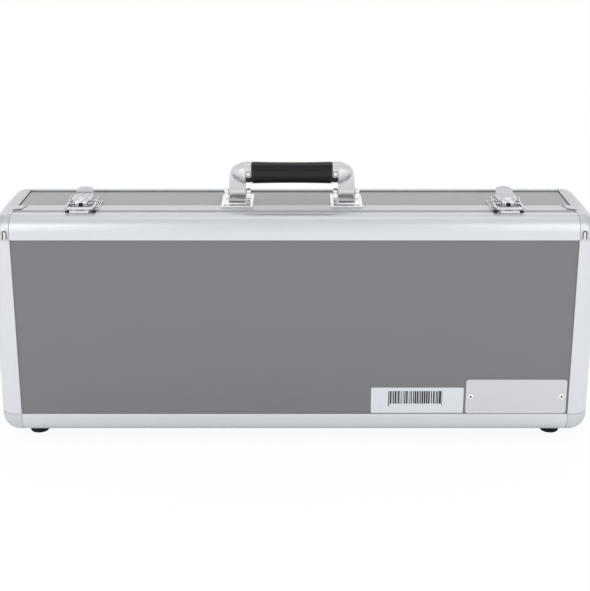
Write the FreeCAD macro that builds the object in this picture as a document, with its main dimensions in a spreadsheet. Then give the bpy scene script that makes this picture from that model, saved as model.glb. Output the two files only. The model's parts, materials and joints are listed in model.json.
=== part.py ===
import FreeCAD, Part
import math
import os
import Sketcher

# A shallow equipment case for effect pedals, standing on its feet with the handle up.
# Millimetres. X runs along the width, Y from the lid at the front to the back, Z up.
# The origin is on the floor, under the middle of the case.

# Driving dimensions
SIZES = {
    # Shell
    "case_width": 680.0,
    "case_depth": 156.0,
    "case_height": 258.0,
    "foot_height": 16.0,
    "edge_band": 25.0,
    "edge_round": 20.0,
    "skin": 1.5,
    "panel_thickness": 6.0,
    "inner_leg": 1.5,
    "slot_root": 12.0,
    # Split between lid and base
    "lid_depth": 36.0,
    "lid_edge_reach": 24.0,
    "split_gap": 0.4,
    "rim_depth": 22.0,
    "rim_body": 7.6,
    "rim_corner": 34.0,
    "corner_seam": 0.35,
    "tongue_reach": 6.0,
    "tongue_wall": 2.0,
    "tongue_gap": 0.5,
    # Foam
    "lid_foam_thickness": 22.0,
    "base_foam_thickness": 10.0,
    "foam_gap": 1.0,
    # Feet
    "foot_radius": 11.5,
    "foot_taper": 0.6,
    "foot_edge": 1.8,
    "foot_side_inset": 35.0,
    "foot_front_setback": 11.6,
    "foot_rear_side_gap": 1.5,
    "foot_rear_gap": 0.5,
    "foot_bore": 3.0,
    "foot_recess_radius": 6.0,
    "foot_recess_depth": 7.0,
    "foot_screw_head": 2.5,
    # Handle
    "handle_offset": -3.0,
    "handle_setback": -2.0,
    "handle_pivot_rise": 12.0,
    "grip_rise": 34.2,
    "grip_radius": 12.6,
    "grip_length": 92.4,
    "core_radius": 5.0,
    "core_seat": 5.0,
    "collar_length": 6.8,
    "arm_width": 18.8,
    "arm_thickness": 11.0,
    "elbow_radius": 17.0,
    "eye_radius": 6.0,
    "handle_pin_radius": 2.5,
    "bracket_width": 36.0,
    "bracket_length": 60.0,
    "bracket_plate": 2.0,
    "bracket_dome": 5.0,
    "dome_length": 52.0,
    "bracket_margin": 6.0,
    "bracket_window": 15.0,
    "ear_thickness": 5.2,
    "ear_radius": 4.0,
    # Latches, their lengths counted back from the split
    "latch_side_inset": 100.0,
    "latch_front": 1.0,
    "latch_rear": 44.0,
    "latch_half_width": 19.0,
    "latch_plate": 1.5,
    "lever_pivot_back": 4.6,
    "lever_pivot_rise": 6.6,
    "lever_half_width": 13.0,
    "lever_wall": 1.4,
    "lever_nose": 4.8,
    "lever_length": 23.4,
    "lever_skirt": 4.4,
    "tab_half_width": 9.8,
    "tab_length": 38.4,
    "tab_rise": 17.4,
    "latch_ear_thickness": 2.0,
    "latch_ear_gap": 0.3,
    "latch_ear_radius": 3.0,
    "latch_pin_radius": 1.5,
    "bail_pivot_back": 7.0,
    "bail_pivot_drop": 1.8,
    "bail_gap": 0.4,
    "bail_wall": 3.0,
    "bail_height": 4.0,
    "bail_reach": 16.0,
    "bail_bar": 3.4,
    "bail_lift": 0.4,
    "catch_plate": 1.4,
    "catch_gap": 2.0,
    "catch_half_width": 11.0,
    "catch_lip": 2.2,
    "catch_lip_rise": 3.6,
    "lock_radius": 2.9,
    "lock_proud": 0.8,
    "lock_length": 4.6,
    "lock_back": 1.4,
    "key_slot_width": 0.9,
    "key_slot_length": 3.6,
    # Hinges
    "hinge_side_inset": 125.0,
    "hinge_width": 60.0,
    "hinge_drop": 4.6,
    "knuckle_radius": 3.2,
    "hinge_pin_radius": 1.5,
    "hinge_plate": 1.5,
    "hinge_knuckle_gap": 0.6,
    "hinge_base_leaf": 20.0,
    # Fasteners
    "rivet_head_width": 6.4,
    "rivet_head_height": 12.8,
    "rivet_head_rise": 1.3,
    "rivet_shank_radius": 1.6,
    "corner_rivet_inset": 20.0,
    "small_rivet_radius": 2.2,
    "small_rivet_rise": 0.8,
    # Nameplate on the lid
    "plate_width": 115.7,
    "plate_height": 41.8,
    "plate_thickness": 0.9,
    "plate_corner": 3.4,
    "plate_right": 2.5,
    "plate_bottom": 0.4,
    "plate_screw_inset": 5.6,
    "plate_screw_radius": 3.1,
    "plate_screw_rise": 0.6,
    # Fits
    "running_fit": 0.05,
    "seat_gap": 0.3,
    "cut_overrun": 5.0,
}

document = FreeCAD.newDocument("pedal_case")
sheet = document.addObject("Spreadsheet::Sheet", "sizes")
for row, (alias, number) in enumerate(SIZES.items(), start=1):
    sheet.set("A%d" % row, alias)
    sheet.set("B%d" % row, str(number))
    sheet.setAlias("B%d" % row, alias)
document.recompute()


class Size:
    """A length worked out from the sheet: its number now, and the formula that keeps it bound."""

    def __init__(self, number, formula):
        self.number = number
        self.formula = formula

    def joined(self, other, sign, swapped=False):
        other = as_size(other)
        left, right = (other, self) if swapped else (self, other)
        numbers = {
            "+": lambda: left.number + right.number,
            "-": lambda: left.number - right.number,
            "*": lambda: left.number * right.number,
            "/": lambda: left.number / right.number,
        }
        return Size(numbers[sign](), "(%s %s %s)" % (left.formula, sign, right.formula))

    def __add__(self, other):
        return self.joined(other, "+")

    def __radd__(self, other):
        return self.joined(other, "+", swapped=True)

    def __sub__(self, other):
        return self.joined(other, "-")

    def __rsub__(self, other):
        return self.joined(other, "-", swapped=True)

    def __mul__(self, other):
        return self.joined(other, "*")

    def __rmul__(self, other):
        return self.joined(other, "*", swapped=True)

    def __truediv__(self, other):
        return self.joined(other, "/")

    def __neg__(self):
        return self.joined(-1, "*")


def as_size(value):
    if isinstance(value, Size):
        return value
    return Size(float(value), "(%r)" % value if value < 0 else "%r" % value)


def root(value):
    return Size(math.sqrt(value.number), "sqrt(%s)" % value.formula)


def size(alias):
    return Size(float(sheet.get(alias)), "sizes." + alias)


def bind(thing, field, value):
    value = as_size(value)
    if "sizes." in value.formula:
        thing.setExpression(field, value.formula)


# Places worked out from the driving dimensions. Depth counts back from the front face.
HALF_WIDTH = size("case_width") / 2
FRONT = -size("case_depth") / 2
BACK = size("case_depth") / 2
BOTTOM = size("foot_height")
TOP = BOTTOM + size("case_height")
MIDDLE = BOTTOM + size("case_height") / 2
BAND = size("edge_band")
ROUND = size("edge_round")
SKIN = size("skin")
PANEL_INNER = SKIN + size("panel_thickness")
LEG_INNER = PANEL_INNER + size("inner_leg")
RUN_X = HALF_WIDTH - BAND
RUN_Z = size("case_height") / 2 - BAND
PANEL_X = HALF_WIDTH - ROUND
PANEL_Z = size("case_height") / 2 - ROUND
RIM_START = size("lid_depth") + size("split_gap")
RIM_END = size("lid_depth") + size("rim_depth")
BACK_BAND = size("case_depth") - BAND
SEAM = size("corner_seam")
OVERRUN = size("cut_overrun")
ZERO = as_size(0)


def depth(value):
    return FRONT + value


# Turns that bring a profile drawn for the top edge to the other edges
AXIS_X = FreeCAD.Vector(1, 0, 0)
AXIS_Y = FreeCAD.Vector(0, 1, 0)
AXIS_Z = FreeCAD.Vector(0, 0, 1)
NO_TURN = FreeCAD.Rotation()
TURN_OVER = FreeCAD.Rotation(AXIS_Y, 180)
TURN_LEFT = FreeCAD.Rotation(AXIS_Y, -90)
TURN_RIGHT = FreeCAD.Rotation(AXIS_Y, 90)
TURN_ROUND = FreeCAD.Rotation(AXIS_Z, 180)
POINT_FORWARD = FreeCAD.Rotation(AXIS_X, 90)
ALONG_BACK = FreeCAD.Rotation(AXIS_X, -90)
ALONG_X = FreeCAD.Rotation(AXIS_Y, 90)
PLANE_OF = {"yz": "YZ_Plane", "xz": "XZ_Plane"}


def place(thing, x, y, z, rotation=NO_TURN):
    """Puts a thing at three sizes, and keeps it bound to them."""
    spot = [as_size(value) for value in (x, y, z)]
    thing.Placement = FreeCAD.Placement(FreeCAD.Vector(*[value.number for value in spot]), rotation)
    for axis, value in zip("xyz", spot):
        bind(thing, "Placement.Base." + axis, value)
    return thing


def box(name, low, high):
    """A block between two corners, each corner three sizes."""
    block = document.addObject("Part::Box", name)
    for field, start, end in zip(("Length", "Width", "Height"), low, high):
        bind(block, field, as_size(end) - as_size(start))
    return place(block, *low)


def rod(name, radius, length, start, rotation=NO_TURN):
    """A cylinder that runs along its turned Z axis from the start point."""
    cylinder = document.addObject("Part::Cylinder", name)
    bind(cylinder, "Radius", radius)
    bind(cylinder, "Height", length)
    return place(cylinder, *start, rotation)


def fuse(name, *shapes):
    joined = document.addObject("Part::MultiFuse", name)
    joined.Shapes = list(shapes)
    joined.Refine = True
    return joined


def cut(name, base, *tools):
    result = document.addObject("Part::Cut", name)
    result.Base = base
    result.Tool = tools[0] if len(tools) == 1 else fuse(name + "_tools", *tools)
    return result


def common(name, first, second):
    result = document.addObject("Part::Common", name)
    result.Base = first
    result.Tool = second
    return result


def group(name, members):
    """Several separate solids that share one node."""
    together = document.addObject("Part::Compound", name)
    together.Links = list(members)
    return together


def sketch_on(body, plane, outlines):
    """A closed sketch on one of the body's own planes, each corner pinned to the sheet.

    A corner is (across, up), and a corner with a centre, (across, up, centre, radius), ends an arc.
    """
    sketch = body.newObject("Sketcher::SketchObject", body.Name + "_sketch")
    own_plane = [entry for entry in body.Origin.OriginFeatures if entry.Role == PLANE_OF[plane]][0]
    sketch.AttachmentSupport = [(own_plane, "")]
    sketch.MapMode = "FlatFace"
    for outline in outlines:
        draw_outline(sketch, outline)
    return sketch


def flat_point(across, up):
    return FreeCAD.Vector(as_size(across).number, as_size(up).number, 0)


def draw_outline(sketch, corners):
    first = sketch.GeometryCount
    sides = []
    for index, (across, up, *_) in enumerate(corners):
        next_across, next_up, *arc = corners[(index + 1) % len(corners)]
        start = flat_point(across, up)
        end = flat_point(next_across, next_up)
        if not arc:
            sketch.addGeometry(Part.LineSegment(start, end), False)
            sides.append((1, 2, None))
            continue
        centre = flat_point(*arc[0])
        radius = arc[1]
        left_turn = (start - centre).cross(end - centre).z > 0
        ends = (start, end) if left_turn else (end, start)
        angles = [math.atan2(point.y - centre.y, point.x - centre.x) for point in ends]
        if angles[1] < angles[0]:
            angles[1] += 2 * math.pi
        circle = Part.Circle(centre, AXIS_Z, (start - centre).Length)
        sketch.addGeometry(Part.ArcOfCircle(circle, *angles), False)
        sides.append((1, 2, radius) if left_turn else (2, 1, radius))
    for index, (start_point, end_point, radius) in enumerate(sides):
        here = first + index
        following = first + (index + 1) % len(sides)
        next_start = sides[(index + 1) % len(sides)][0]
        sketch.addConstraint(Sketcher.Constraint("Coincident", here, end_point, following, next_start))
        for kind, value in zip(("DistanceX", "DistanceY"), corners[index]):
            pin = Sketcher.Constraint(kind, -1, 1, here, start_point, as_size(value).number)
            number = sketch.addConstraint(pin)
            bind(sketch, "Constraints[%d]" % number, value)
        if radius is not None:
            rounding = Sketcher.Constraint("Radius", here, radius.number)
            bind(sketch, "Constraints[%d]" % sketch.addConstraint(rounding), radius)


def slab(name, plane, length, *outlines):
    """A profile padded to both sides of its plane, half the length each way."""
    body = document.addObject("PartDesign::Body", name)
    pad = body.newObject("PartDesign::Pad", name + "_pad")
    pad.Profile = sketch_on(body, plane, outlines)
    pad.SideType = "Symmetric"
    bind(pad, "Length", length)
    return body


def turned(name, outline):
    """A profile in the XZ plane turned round the body's own Z axis."""
    body = document.addObject("PartDesign::Body", name)
    sketch = sketch_on(body, "xz", [outline])
    revolution = body.newObject("PartDesign::Revolution", name + "_turn")
    revolution.Profile = sketch
    revolution.ReferenceAxis = (sketch, ["V_Axis"])
    revolution.Angle = 360
    return body


nodes = []


def node(thing, name=None):
    """Marks a finished piece, and gives it the name of its file."""
    thing.Label = name or thing.Name
    nodes.append(thing)
    return thing


# Rounded form of the whole shell, and the thin skin that its corner pieces are cut from
def rounded_box(name, inset, radius):
    block = box(
        name + "_block",
        (-HALF_WIDTH + inset, FRONT + inset, BOTTOM + inset),
        (HALF_WIDTH - inset, BACK - inset, TOP - inset),
    )
    document.recompute()
    form = document.addObject("Part::Feature", name)
    form.Shape = block.Shape.makeFillet(radius.number, block.Shape.Edges)
    return form


shell_form = rounded_box("shell_form", ZERO, ROUND)
shell_hollow = rounded_box("shell_hollow", SKIN, ROUND - SKIN)
shell_skin = cut("shell_skin", shell_form, shell_hollow)


def corner_piece(name, side, level, reach, start, end):
    """The part of the skin at one corner, between two depths."""
    across = {
        "left": (-HALF_WIDTH - OVERRUN, reach - HALF_WIDTH),
        "right": (HALF_WIDTH - reach, HALF_WIDTH + OVERRUN),
    }
    upward = {
        "top": (TOP - reach, TOP + OVERRUN),
        "bottom": (BOTTOM - OVERRUN, BOTTOM + reach),
    }
    low_x, high_x = across[side]
    low_z, high_z = upward[level]
    region = box(name + "_region", (low_x, start, low_z), (high_x, end, high_z))
    if level != RIVETED:
        return common(name, shell_skin, region)
    blank = common(name + "_blank", shell_skin, region)
    x, z = corner_rivet_place(side)
    hole_start = (x, FRONT - OVERRUN, z)
    hole_length = size("case_depth") + OVERRUN * 2
    hole = rod(name + "_hole", size("rivet_shank_radius"), hole_length, hole_start, ALONG_BACK)
    return cut(name, blank, hole)


def corner_rivet_place(side):
    """Where the rivet goes, across the front and up it."""
    inset = size("corner_rivet_inset")
    x = HALF_WIDTH - inset
    return (-x if side == "left" else x, TOP - inset)


CORNERS = [(level, side) for level in ("top", "bottom") for side in ("left", "right")]
RIVETED = "top"


# Edge extrusion: a rounded skin with a slot for a panel on each side, and a leg behind each panel
def edge_outline(front_reach, side_reach):
    slot = size("slot_root")
    centre = (ROUND, -ROUND)
    inner_round = ROUND - SKIN
    slot_offset = ROUND - slot
    root_rise = ROUND - root(inner_round * inner_round - slot_offset * slot_offset)
    return [
        (ZERO, -front_reach),
        (ZERO, -ROUND),
        (ROUND, ZERO, centre, ROUND),
        (side_reach, ZERO),
        (side_reach, -SKIN),
        (ROUND, -SKIN),
        (slot, -root_rise, centre, inner_round),
        (slot, -PANEL_INNER),
        (side_reach, -PANEL_INNER),
        (side_reach, -LEG_INNER),
        (LEG_INNER, -LEG_INNER),
        (LEG_INNER, -front_reach),
        (PANEL_INNER, -front_reach),
        (PANEL_INNER, -slot),
        (root_rise, -slot),
        (SKIN, -ROUND, centre, inner_round),
        (SKIN, -front_reach),
    ]


def frame_of_four(prefix, outline, depth_place, run_x, run_z, turn=NO_TURN):
    """One profile along the top, bottom, left and right of the case."""
    sides = {
        "top": (run_x * 2, NO_TURN, ZERO, TOP),
        "bottom": (run_x * 2, TURN_OVER, ZERO, BOTTOM),
        "left": (run_z * 2, TURN_LEFT, -HALF_WIDTH, MIDDLE),
        "right": (run_z * 2, TURN_RIGHT, HALF_WIDTH, MIDDLE),
    }
    pieces = []
    for side, (length, rotation, x, z) in sides.items():
        piece = slab("%s_%s" % (prefix, side), "yz", length, outline)
        pieces.append(place(piece, x, depth_place, z, rotation.multiply(turn)))
    return pieces


# Lid: panel, rounded edges, corners, and the rim strips with their tongue
node(box(
    "lid_panel",
    (-PANEL_X, depth(SKIN), MIDDLE - PANEL_Z),
    (PANEL_X, depth(PANEL_INNER), MIDDLE + PANEL_Z),
))
for piece in frame_of_four("lid_edge", edge_outline(BAND, size("lid_edge_reach")), FRONT, RUN_X, RUN_Z):
    node(piece)
for level, side in CORNERS:
    node(corner_piece(
        "lid_corner_%s_%s" % (level, side), side, level, BAND - SEAM,
        FRONT - OVERRUN, depth(size("lid_depth")),
    ))

tongue_outer = LEG_INNER + size("tongue_gap")
tongue_inner = tongue_outer + size("tongue_wall")
tongue_end = size("lid_depth") + size("tongue_reach")
rim_outline = [
    (ROUND, -SKIN),
    (size("lid_depth"), -SKIN),
    (size("lid_depth"), -tongue_outer),
    (tongue_end, -tongue_outer),
    (tongue_end, -tongue_inner),
    (size("lid_edge_reach"), -tongue_inner),
    (size("lid_edge_reach"), -PANEL_INNER),
    (ROUND, -PANEL_INNER),
]
node(group("lid_rim", frame_of_four("lid_rim_strip", rim_outline, FRONT, PANEL_X, PANEL_Z)))

foam_x = RUN_X - size("foam_gap")
foam_z = RUN_Z - size("foam_gap")
node(box(
    "lid_foam",
    (-foam_x, depth(PANEL_INNER), MIDDLE - foam_z),
    (foam_x, depth(PANEL_INNER + size("lid_foam_thickness")), MIDDLE + foam_z),
))

# Base: five panels, the rim round the mouth, the long and short edges, and the corners
panel_front = size("lid_depth") + size("rim_body")
panel_back = size("case_depth") - ROUND
for side, sign in (("top", 1), ("bottom", -1)):
    surface = MIDDLE + sign * (size("case_height") / 2 - SKIN)
    inner = MIDDLE + sign * (size("case_height") / 2 - PANEL_INNER)
    low, high = (inner, surface) if sign > 0 else (surface, inner)
    node(box(
        "base_%s_panel" % side,
        (-PANEL_X, depth(panel_front), low),
        (PANEL_X, depth(panel_back), high),
    ))
for side, sign in (("left", -1), ("right", 1)):
    surface = sign * (HALF_WIDTH - SKIN)
    inner = sign * (HALF_WIDTH - PANEL_INNER)
    low, high = (surface, inner) if sign < 0 else (inner, surface)
    node(box(
        "base_%s_panel" % side,
        (low, depth(panel_front), MIDDLE - PANEL_Z),
        (high, depth(panel_back), MIDDLE + PANEL_Z),
    ))
node(box(
    "base_back_panel",
    (-PANEL_X, BACK - PANEL_INNER, MIDDLE - PANEL_Z),
    (PANEL_X, BACK - SKIN, MIDDLE + PANEL_Z),
))

base_rim_outline = [
    (RIM_START, ZERO),
    (RIM_END, ZERO),
    (RIM_END, -SKIN),
    (panel_front, -SKIN),
    (panel_front, -PANEL_INNER),
    (RIM_END, -PANEL_INNER),
    (RIM_END, -LEG_INNER),
    (RIM_START, -LEG_INNER),
]
rim_x = HALF_WIDTH - size("rim_corner")
rim_z = size("case_height") / 2 - size("rim_corner")
for piece in frame_of_four("base_rim", base_rim_outline, FRONT, rim_x, rim_z):
    node(piece)

# Rim corner: an angle with a rounded outside, thick at the mouth and a thin skin over the panels
def rim_corner(name, rotation, x, z):
    reach = size("rim_corner") - SEAM

    def angle(part, thickness, start, end):
        outline = [
            (ZERO, -reach),
            (ZERO, -ROUND),
            (ROUND, ZERO, (ROUND, -ROUND), ROUND),
            (reach, ZERO),
            (reach, -thickness),
            (ROUND, -thickness),
            (thickness, -ROUND, (ROUND, -ROUND), ROUND - thickness),
            (thickness, -reach),
        ]
        bar = slab("%s_%s" % (name, part), "yz", end - start, outline)
        return place(bar, x, depth((start + end) / 2), z, rotation)

    mouth = angle("mouth", LEG_INNER, RIM_START, panel_front)
    cover = angle("cover", SKIN, panel_front, RIM_END)
    return fuse(name, mouth, cover)


# The profile is drawn for a left hand corner seen from the front, so it is turned to run along Y
CORNER_TURNS = {
    ("top", "left"): (FreeCAD.Rotation(AXIS_Z, -90), -HALF_WIDTH, TOP),
    ("top", "right"): (FreeCAD.Rotation(AXIS_Z, 90), HALF_WIDTH, TOP),
    ("bottom", "left"): (TURN_OVER.multiply(FreeCAD.Rotation(AXIS_Z, 90)), -HALF_WIDTH, BOTTOM),
    ("bottom", "right"): (TURN_OVER.multiply(FreeCAD.Rotation(AXIS_Z, -90)), HALF_WIDTH, BOTTOM),
}
node(group("base_rim_corners", [
    rim_corner("base_rim_corner_%s_%s" % corner, *CORNER_TURNS[corner]) for corner in CORNERS
]))
for corner in CORNERS:
    rotation, x, z = CORNER_TURNS[corner]
    edge = slab("base_side_edge_%s_%s" % corner, "yz", BACK_BAND - RIM_END, edge_outline(BAND, BAND))
    node(place(edge, x, depth((RIM_END + BACK_BAND) / 2), z, rotation))
for piece in frame_of_four("base_back_edge", edge_outline(BAND, BAND), BACK, RUN_X, RUN_Z, TURN_ROUND):
    node(piece)
back_span = (depth(BACK_BAND + SEAM), BACK + OVERRUN)
node(group("base_back_corners", [
    corner_piece("base_back_corner_%s_%s" % (level, side), side, level, BAND - SEAM, *back_span)
    for level, side in CORNERS
]))

# Foam lining of the base
foam_depth = size("base_foam_thickness")
back_foam_face = BACK - PANEL_INNER
node(box(
    "base_foam_back",
    (-foam_x, back_foam_face - foam_depth, MIDDLE - foam_z),
    (foam_x, back_foam_face, MIDDLE + foam_z),
))
wall_start = depth(RIM_END + size("foam_gap"))
wall_end = depth(BACK_BAND - size("foam_gap"))
wall_z = size("case_height") / 2 - PANEL_INNER
wall_x = HALF_WIDTH - PANEL_INNER
foam_walls = {
    "top": (-foam_x, foam_x, MIDDLE + wall_z - foam_depth, MIDDLE + wall_z),
    "bottom": (-foam_x, foam_x, MIDDLE - wall_z, MIDDLE - wall_z + foam_depth),
    "left": (-wall_x, foam_depth - wall_x, MIDDLE - foam_z, MIDDLE + foam_z),
    "right": (wall_x - foam_depth, wall_x, MIDDLE - foam_z, MIDDLE + foam_z),
}
node(group("base_foam_walls", [
    box("foam_wall_" + side, (low_x, wall_start, low_z), (high_x, wall_end, high_z))
    for side, (low_x, high_x, low_z, high_z) in foam_walls.items()
]))


# Feet: tapered rubber buffers with a screw sunk in from below
def foot_outline(height):
    low_radius = size("foot_radius") - size("foot_taper")
    edge = size("foot_edge")
    return [
        (size("foot_bore"), size("foot_recess_depth")),
        (size("foot_recess_radius"), size("foot_recess_depth")),
        (size("foot_recess_radius"), ZERO),
        (low_radius - edge, ZERO),
        (low_radius, edge, (low_radius - edge, edge), edge),
        (size("foot_radius"), height),
        (size("foot_bore"), height),
    ]


def foot_screw_outline(height):
    seat = size("foot_recess_depth")
    head_radius = size("foot_recess_radius") - size("seat_gap") * 2
    shank = size("foot_bore")
    return [
        (ZERO, seat - size("foot_screw_head")),
        (head_radius - size("foot_screw_head") / 2, seat - size("foot_screw_head")),
        (head_radius, seat),
        (shank, seat),
        (shank, height),
        (ZERO, height),
    ]


# The front feet stand on the rim, and the rear ones on the bottom panel, clear of the edges
front_spread = HALF_WIDTH - size("foot_side_inset")
front_foot = RIM_START + size("foot_front_setback")
rear_spread = RUN_X - size("foot_rear_side_gap") - size("foot_radius")
rear_foot = BACK_BAND - size("foot_rear_gap") - size("foot_radius")
foot_screws = []
for row, spread, foot_depth, seat in (
    ("front", front_spread, front_foot, BOTTOM),
    ("rear", rear_spread, rear_foot, BOTTOM + SKIN),
):
    for side, sign in (("left", -1), ("right", 1)):
        spot = (sign * spread, depth(foot_depth), ZERO)
        node(place(turned("rubber_foot_%s_%s" % (row, side), foot_outline(seat)), *spot))
        screw = turned("foot_screw_%s_%s" % (row, side), foot_screw_outline(seat))
        foot_screws.append(place(screw, *spot))
node(group("foot_screws", foot_screws))


# Dome headed rivet, its head standing on z = 0 and its shank below
def rivet(name, spot, head_radius, head_rise, reach, rotation=NO_TURN):
    shank = size("rivet_shank_radius")
    ball = (head_radius * head_radius + head_rise * head_rise) / (2 * head_rise)
    outline = [
        (ZERO, -reach),
        (shank, -reach),
        (shank, ZERO),
        (head_radius, ZERO),
        (ZERO, head_rise, (ZERO, head_rise - ball), ball),
    ]
    return place(turned(name, outline), *spot, rotation)


# Handle: two brackets, pins, and a grip on a steel core between two cast arms
handle_x = size("handle_offset")
pivot_y = size("handle_setback")
pivot_z = TOP + size("handle_pivot_rise")
grip_z = TOP + size("grip_rise")
grip_half = size("grip_length") / 2
arm_inside = grip_half + size("collar_length")
arm_middle = arm_inside + size("arm_width") / 2
ear_inner = size("arm_width") / 2 + size("seat_gap") * 2


def handle_bracket(name, x):
    half = size("bracket_width") / 2
    start = pivot_y - size("bracket_length") / 2
    end = pivot_y + size("bracket_length") / 2
    plate_top = size("bracket_plate")
    plate = box(name + "_plate", (x - half, start, TOP), (x + half, end, TOP + plate_top))
    pad_start = depth(RIM_END) + size("seat_gap")
    pad = box(name + "_pad", (x - half, pad_start, TOP - SKIN), (x + half, end, TOP))
    dome_top = size("bracket_dome")
    slope = size("bracket_margin")
    dome_half = half - slope / 2
    length = size("dome_length") / 2
    dome_outline = [
        (-length + slope, plate_top),
        (length - slope, plate_top),
        (length - slope * 2, dome_top),
        (-length + slope * 2, dome_top),
    ]
    dome = place(slab(name + "_dome", "yz", dome_half * 2, dome_outline), x, pivot_y, TOP)
    pieces = [plate, pad, dome]
    for side, sign in (("inner", -1), ("outer", 1)):
        ear_middle = x + sign * (ear_inner + size("ear_thickness") / 2)
        radius = size("ear_radius")
        rise = size("handle_pivot_rise")
        ear_outline = [
            (-radius * 2, plate_top),
            (radius * 2, plate_top),
            (radius, rise),
            (ZERO, rise + radius, (ZERO, rise), radius),
            (-radius, rise, (ZERO, rise), radius),
        ]
        ear = slab("%s_ear_%s" % (name, side), "yz", size("ear_thickness"), ear_outline)
        pieces.append(place(ear, ear_middle, pivot_y, TOP))
    swing = size("eye_radius") + size("seat_gap") * 2
    window_half = size("bracket_window")
    window = box(
        name + "_window",
        (x - ear_inner, pivot_y - window_half, pivot_z - swing),
        (x + ear_inner, pivot_y + window_half, pivot_z + swing * 2),
    )
    well = rod(name + "_well", swing, ear_inner * 2, (x - ear_inner, pivot_y, pivot_z), ALONG_X)
    reach = ear_inner + size("ear_thickness") + OVERRUN
    bore = rod(name + "_bore", size("handle_pin_radius"), reach * 2, (x - reach, pivot_y, pivot_z), ALONG_X)
    holes = rivet_holes(name, bracket_rivet_places(x), size("bracket_plate"))
    return cut(name, fuse(name + "_solid", *pieces), window, well, bore, *holes)


def bracket_rivet_places(x):
    inset = size("small_rivet_radius") + size("seat_gap")
    across = size("bracket_width") / 2 - inset * 2
    along = size("bracket_length") / 2 - inset
    return [(x + sign_x * across, pivot_y + sign_y * along) for sign_x in (-1, 1) for sign_y in (-1, 1)]


def rivet_holes(name, places, plate):
    """Holes for the shanks of small rivets, through a plate that lies on the top of the case."""
    radius = size("rivet_shank_radius")
    return [
        rod("%s_hole_%d" % (name, number), radius, plate + OVERRUN, (x, y, TOP))
        for number, (x, y) in enumerate(places)
    ]


def small_rivets(name, places, plate):
    head = (size("small_rivet_radius"), size("small_rivet_rise"), plate)
    return [
        rivet("%s_rivet_%d" % (name, number), (x, y, TOP + plate), *head)
        for number, (x, y) in enumerate(places)
    ]


def mirrored(outline, sign):
    """The outline as it is for the right, with sign 1, or turned over for the left, with sign -1."""
    corners = []
    for across, up, *arc in outline:
        corner = (across * sign, up)
        if arc:
            (centre_across, centre_up), radius = arc
            corner += ((centre_across * sign, centre_up), radius)
        corners.append(corner)
    return corners


def handle_arm(name, sign):
    """Cast arm: a flat stem from the pivot, and a turned shoulder that runs in to the grip."""
    width = size("arm_width")
    radius = size("grip_radius")
    rise = size("grip_rise") - size("handle_pivot_rise")
    elbow = size("elbow_radius")
    outer = arm_inside + width
    drop = elbow - radius
    tip = outer - elbow + root(elbow * elbow - drop * drop)
    stem_outline = [
        (arm_inside, ZERO),
        (outer, ZERO),
        (outer, rise - radius),
        (tip - size("seat_gap"), rise),
        (arm_inside, rise),
    ]
    stem = slab(name + "_stem", "xz", size("arm_thickness"), mirrored(stem_outline, sign))
    place(stem, handle_x, pivot_y, pivot_z)
    shoulder_outline = [
        (ZERO, grip_half),
        (radius, grip_half),
        (radius, outer - elbow),
        (ZERO, tip, (-drop, outer - elbow), elbow),
    ]
    shoulder = turned(name + "_shoulder", shoulder_outline)
    seam_on_top = TURN_LEFT if sign < 0 else TURN_RIGHT.multiply(TURN_ROUND)
    place(shoulder, handle_x, pivot_y, grip_z, seam_on_top)
    eye_start = handle_x + sign * arm_middle - width / 2
    eye = rod(name + "_eye", size("eye_radius"), width, (eye_start, pivot_y, pivot_z), ALONG_X)
    pin_bore = rod(
        name + "_bore",
        size("handle_pin_radius") + size("running_fit"),
        width + OVERRUN * 2,
        (eye_start - OVERRUN, pivot_y, pivot_z),
        ALONG_X,
    )
    seat = size("core_seat")
    bore_length = size("collar_length") + seat * 2
    bore_x = handle_x + sign * (grip_half + size("collar_length") / 2) - bore_length / 2
    core_bore = rod(name + "_core_bore", size("core_radius"), bore_length, (bore_x, pivot_y, grip_z), ALONG_X)
    return cut(name, fuse(name + "_solid", stem, shoulder, eye), pin_bore, core_bore)


pins = []
rivets = []
pin_half = ear_inner + size("ear_thickness")
for side, sign in (("left", -1), ("right", 1)):
    bracket_x = handle_x + sign * arm_middle
    node(handle_bracket("handle_bracket_" + side, bracket_x))
    pin_start = (bracket_x - pin_half, pivot_y, pivot_z)
    pins.append(rod("handle_pin_" + side, size("handle_pin_radius"), pin_half * 2, pin_start, ALONG_X))
    rivets += small_rivets("bracket_" + side, bracket_rivet_places(bracket_x), size("bracket_plate"))
    node(handle_arm("handle_arm_" + side, sign))

# The core runs through the grip and into a blind hole in each arm
grip_start = (handle_x - grip_half, pivot_y, grip_z)
grip_solid = rod("grip_solid", size("grip_radius"), grip_half * 2, grip_start, ALONG_X)
core_half = arm_inside + size("core_seat")
core_start = (handle_x - core_half, pivot_y, grip_z)
grip_bore = rod("grip_bore", size("core_radius"), core_half * 2, core_start, ALONG_X)
node(cut("handle_grip", grip_solid, grip_bore))
node(rod("handle_core", size("core_radius"), core_half * 2, core_start, ALONG_X))


# Latches: base plate with ears, lever, swinging bail, lock plug, and the catch on the lid
latch_x = HALF_WIDTH - size("latch_side_inset")
latch_start = depth(size("lid_depth") + size("latch_front"))
latch_end = depth(size("lid_depth") + size("latch_rear"))
lever_y = depth(size("lid_depth") + size("lever_pivot_back"))
lever_z = TOP + size("lever_pivot_rise")
lock_y = lever_y + size("lock_back")
bail_y = lever_y + size("bail_pivot_back")
bail_z = lever_z - size("bail_pivot_drop")
lever_inner = size("lever_half_width") - size("lever_wall")
ear_outside = lever_inner - size("latch_ear_gap")
ear_inside = ear_outside - size("latch_ear_thickness")
bail_inside = size("lever_half_width") + size("bail_gap")
bail_outside = bail_inside + size("bail_wall")
bar_start = depth(size("lid_depth") - size("bail_reach"))


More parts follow.
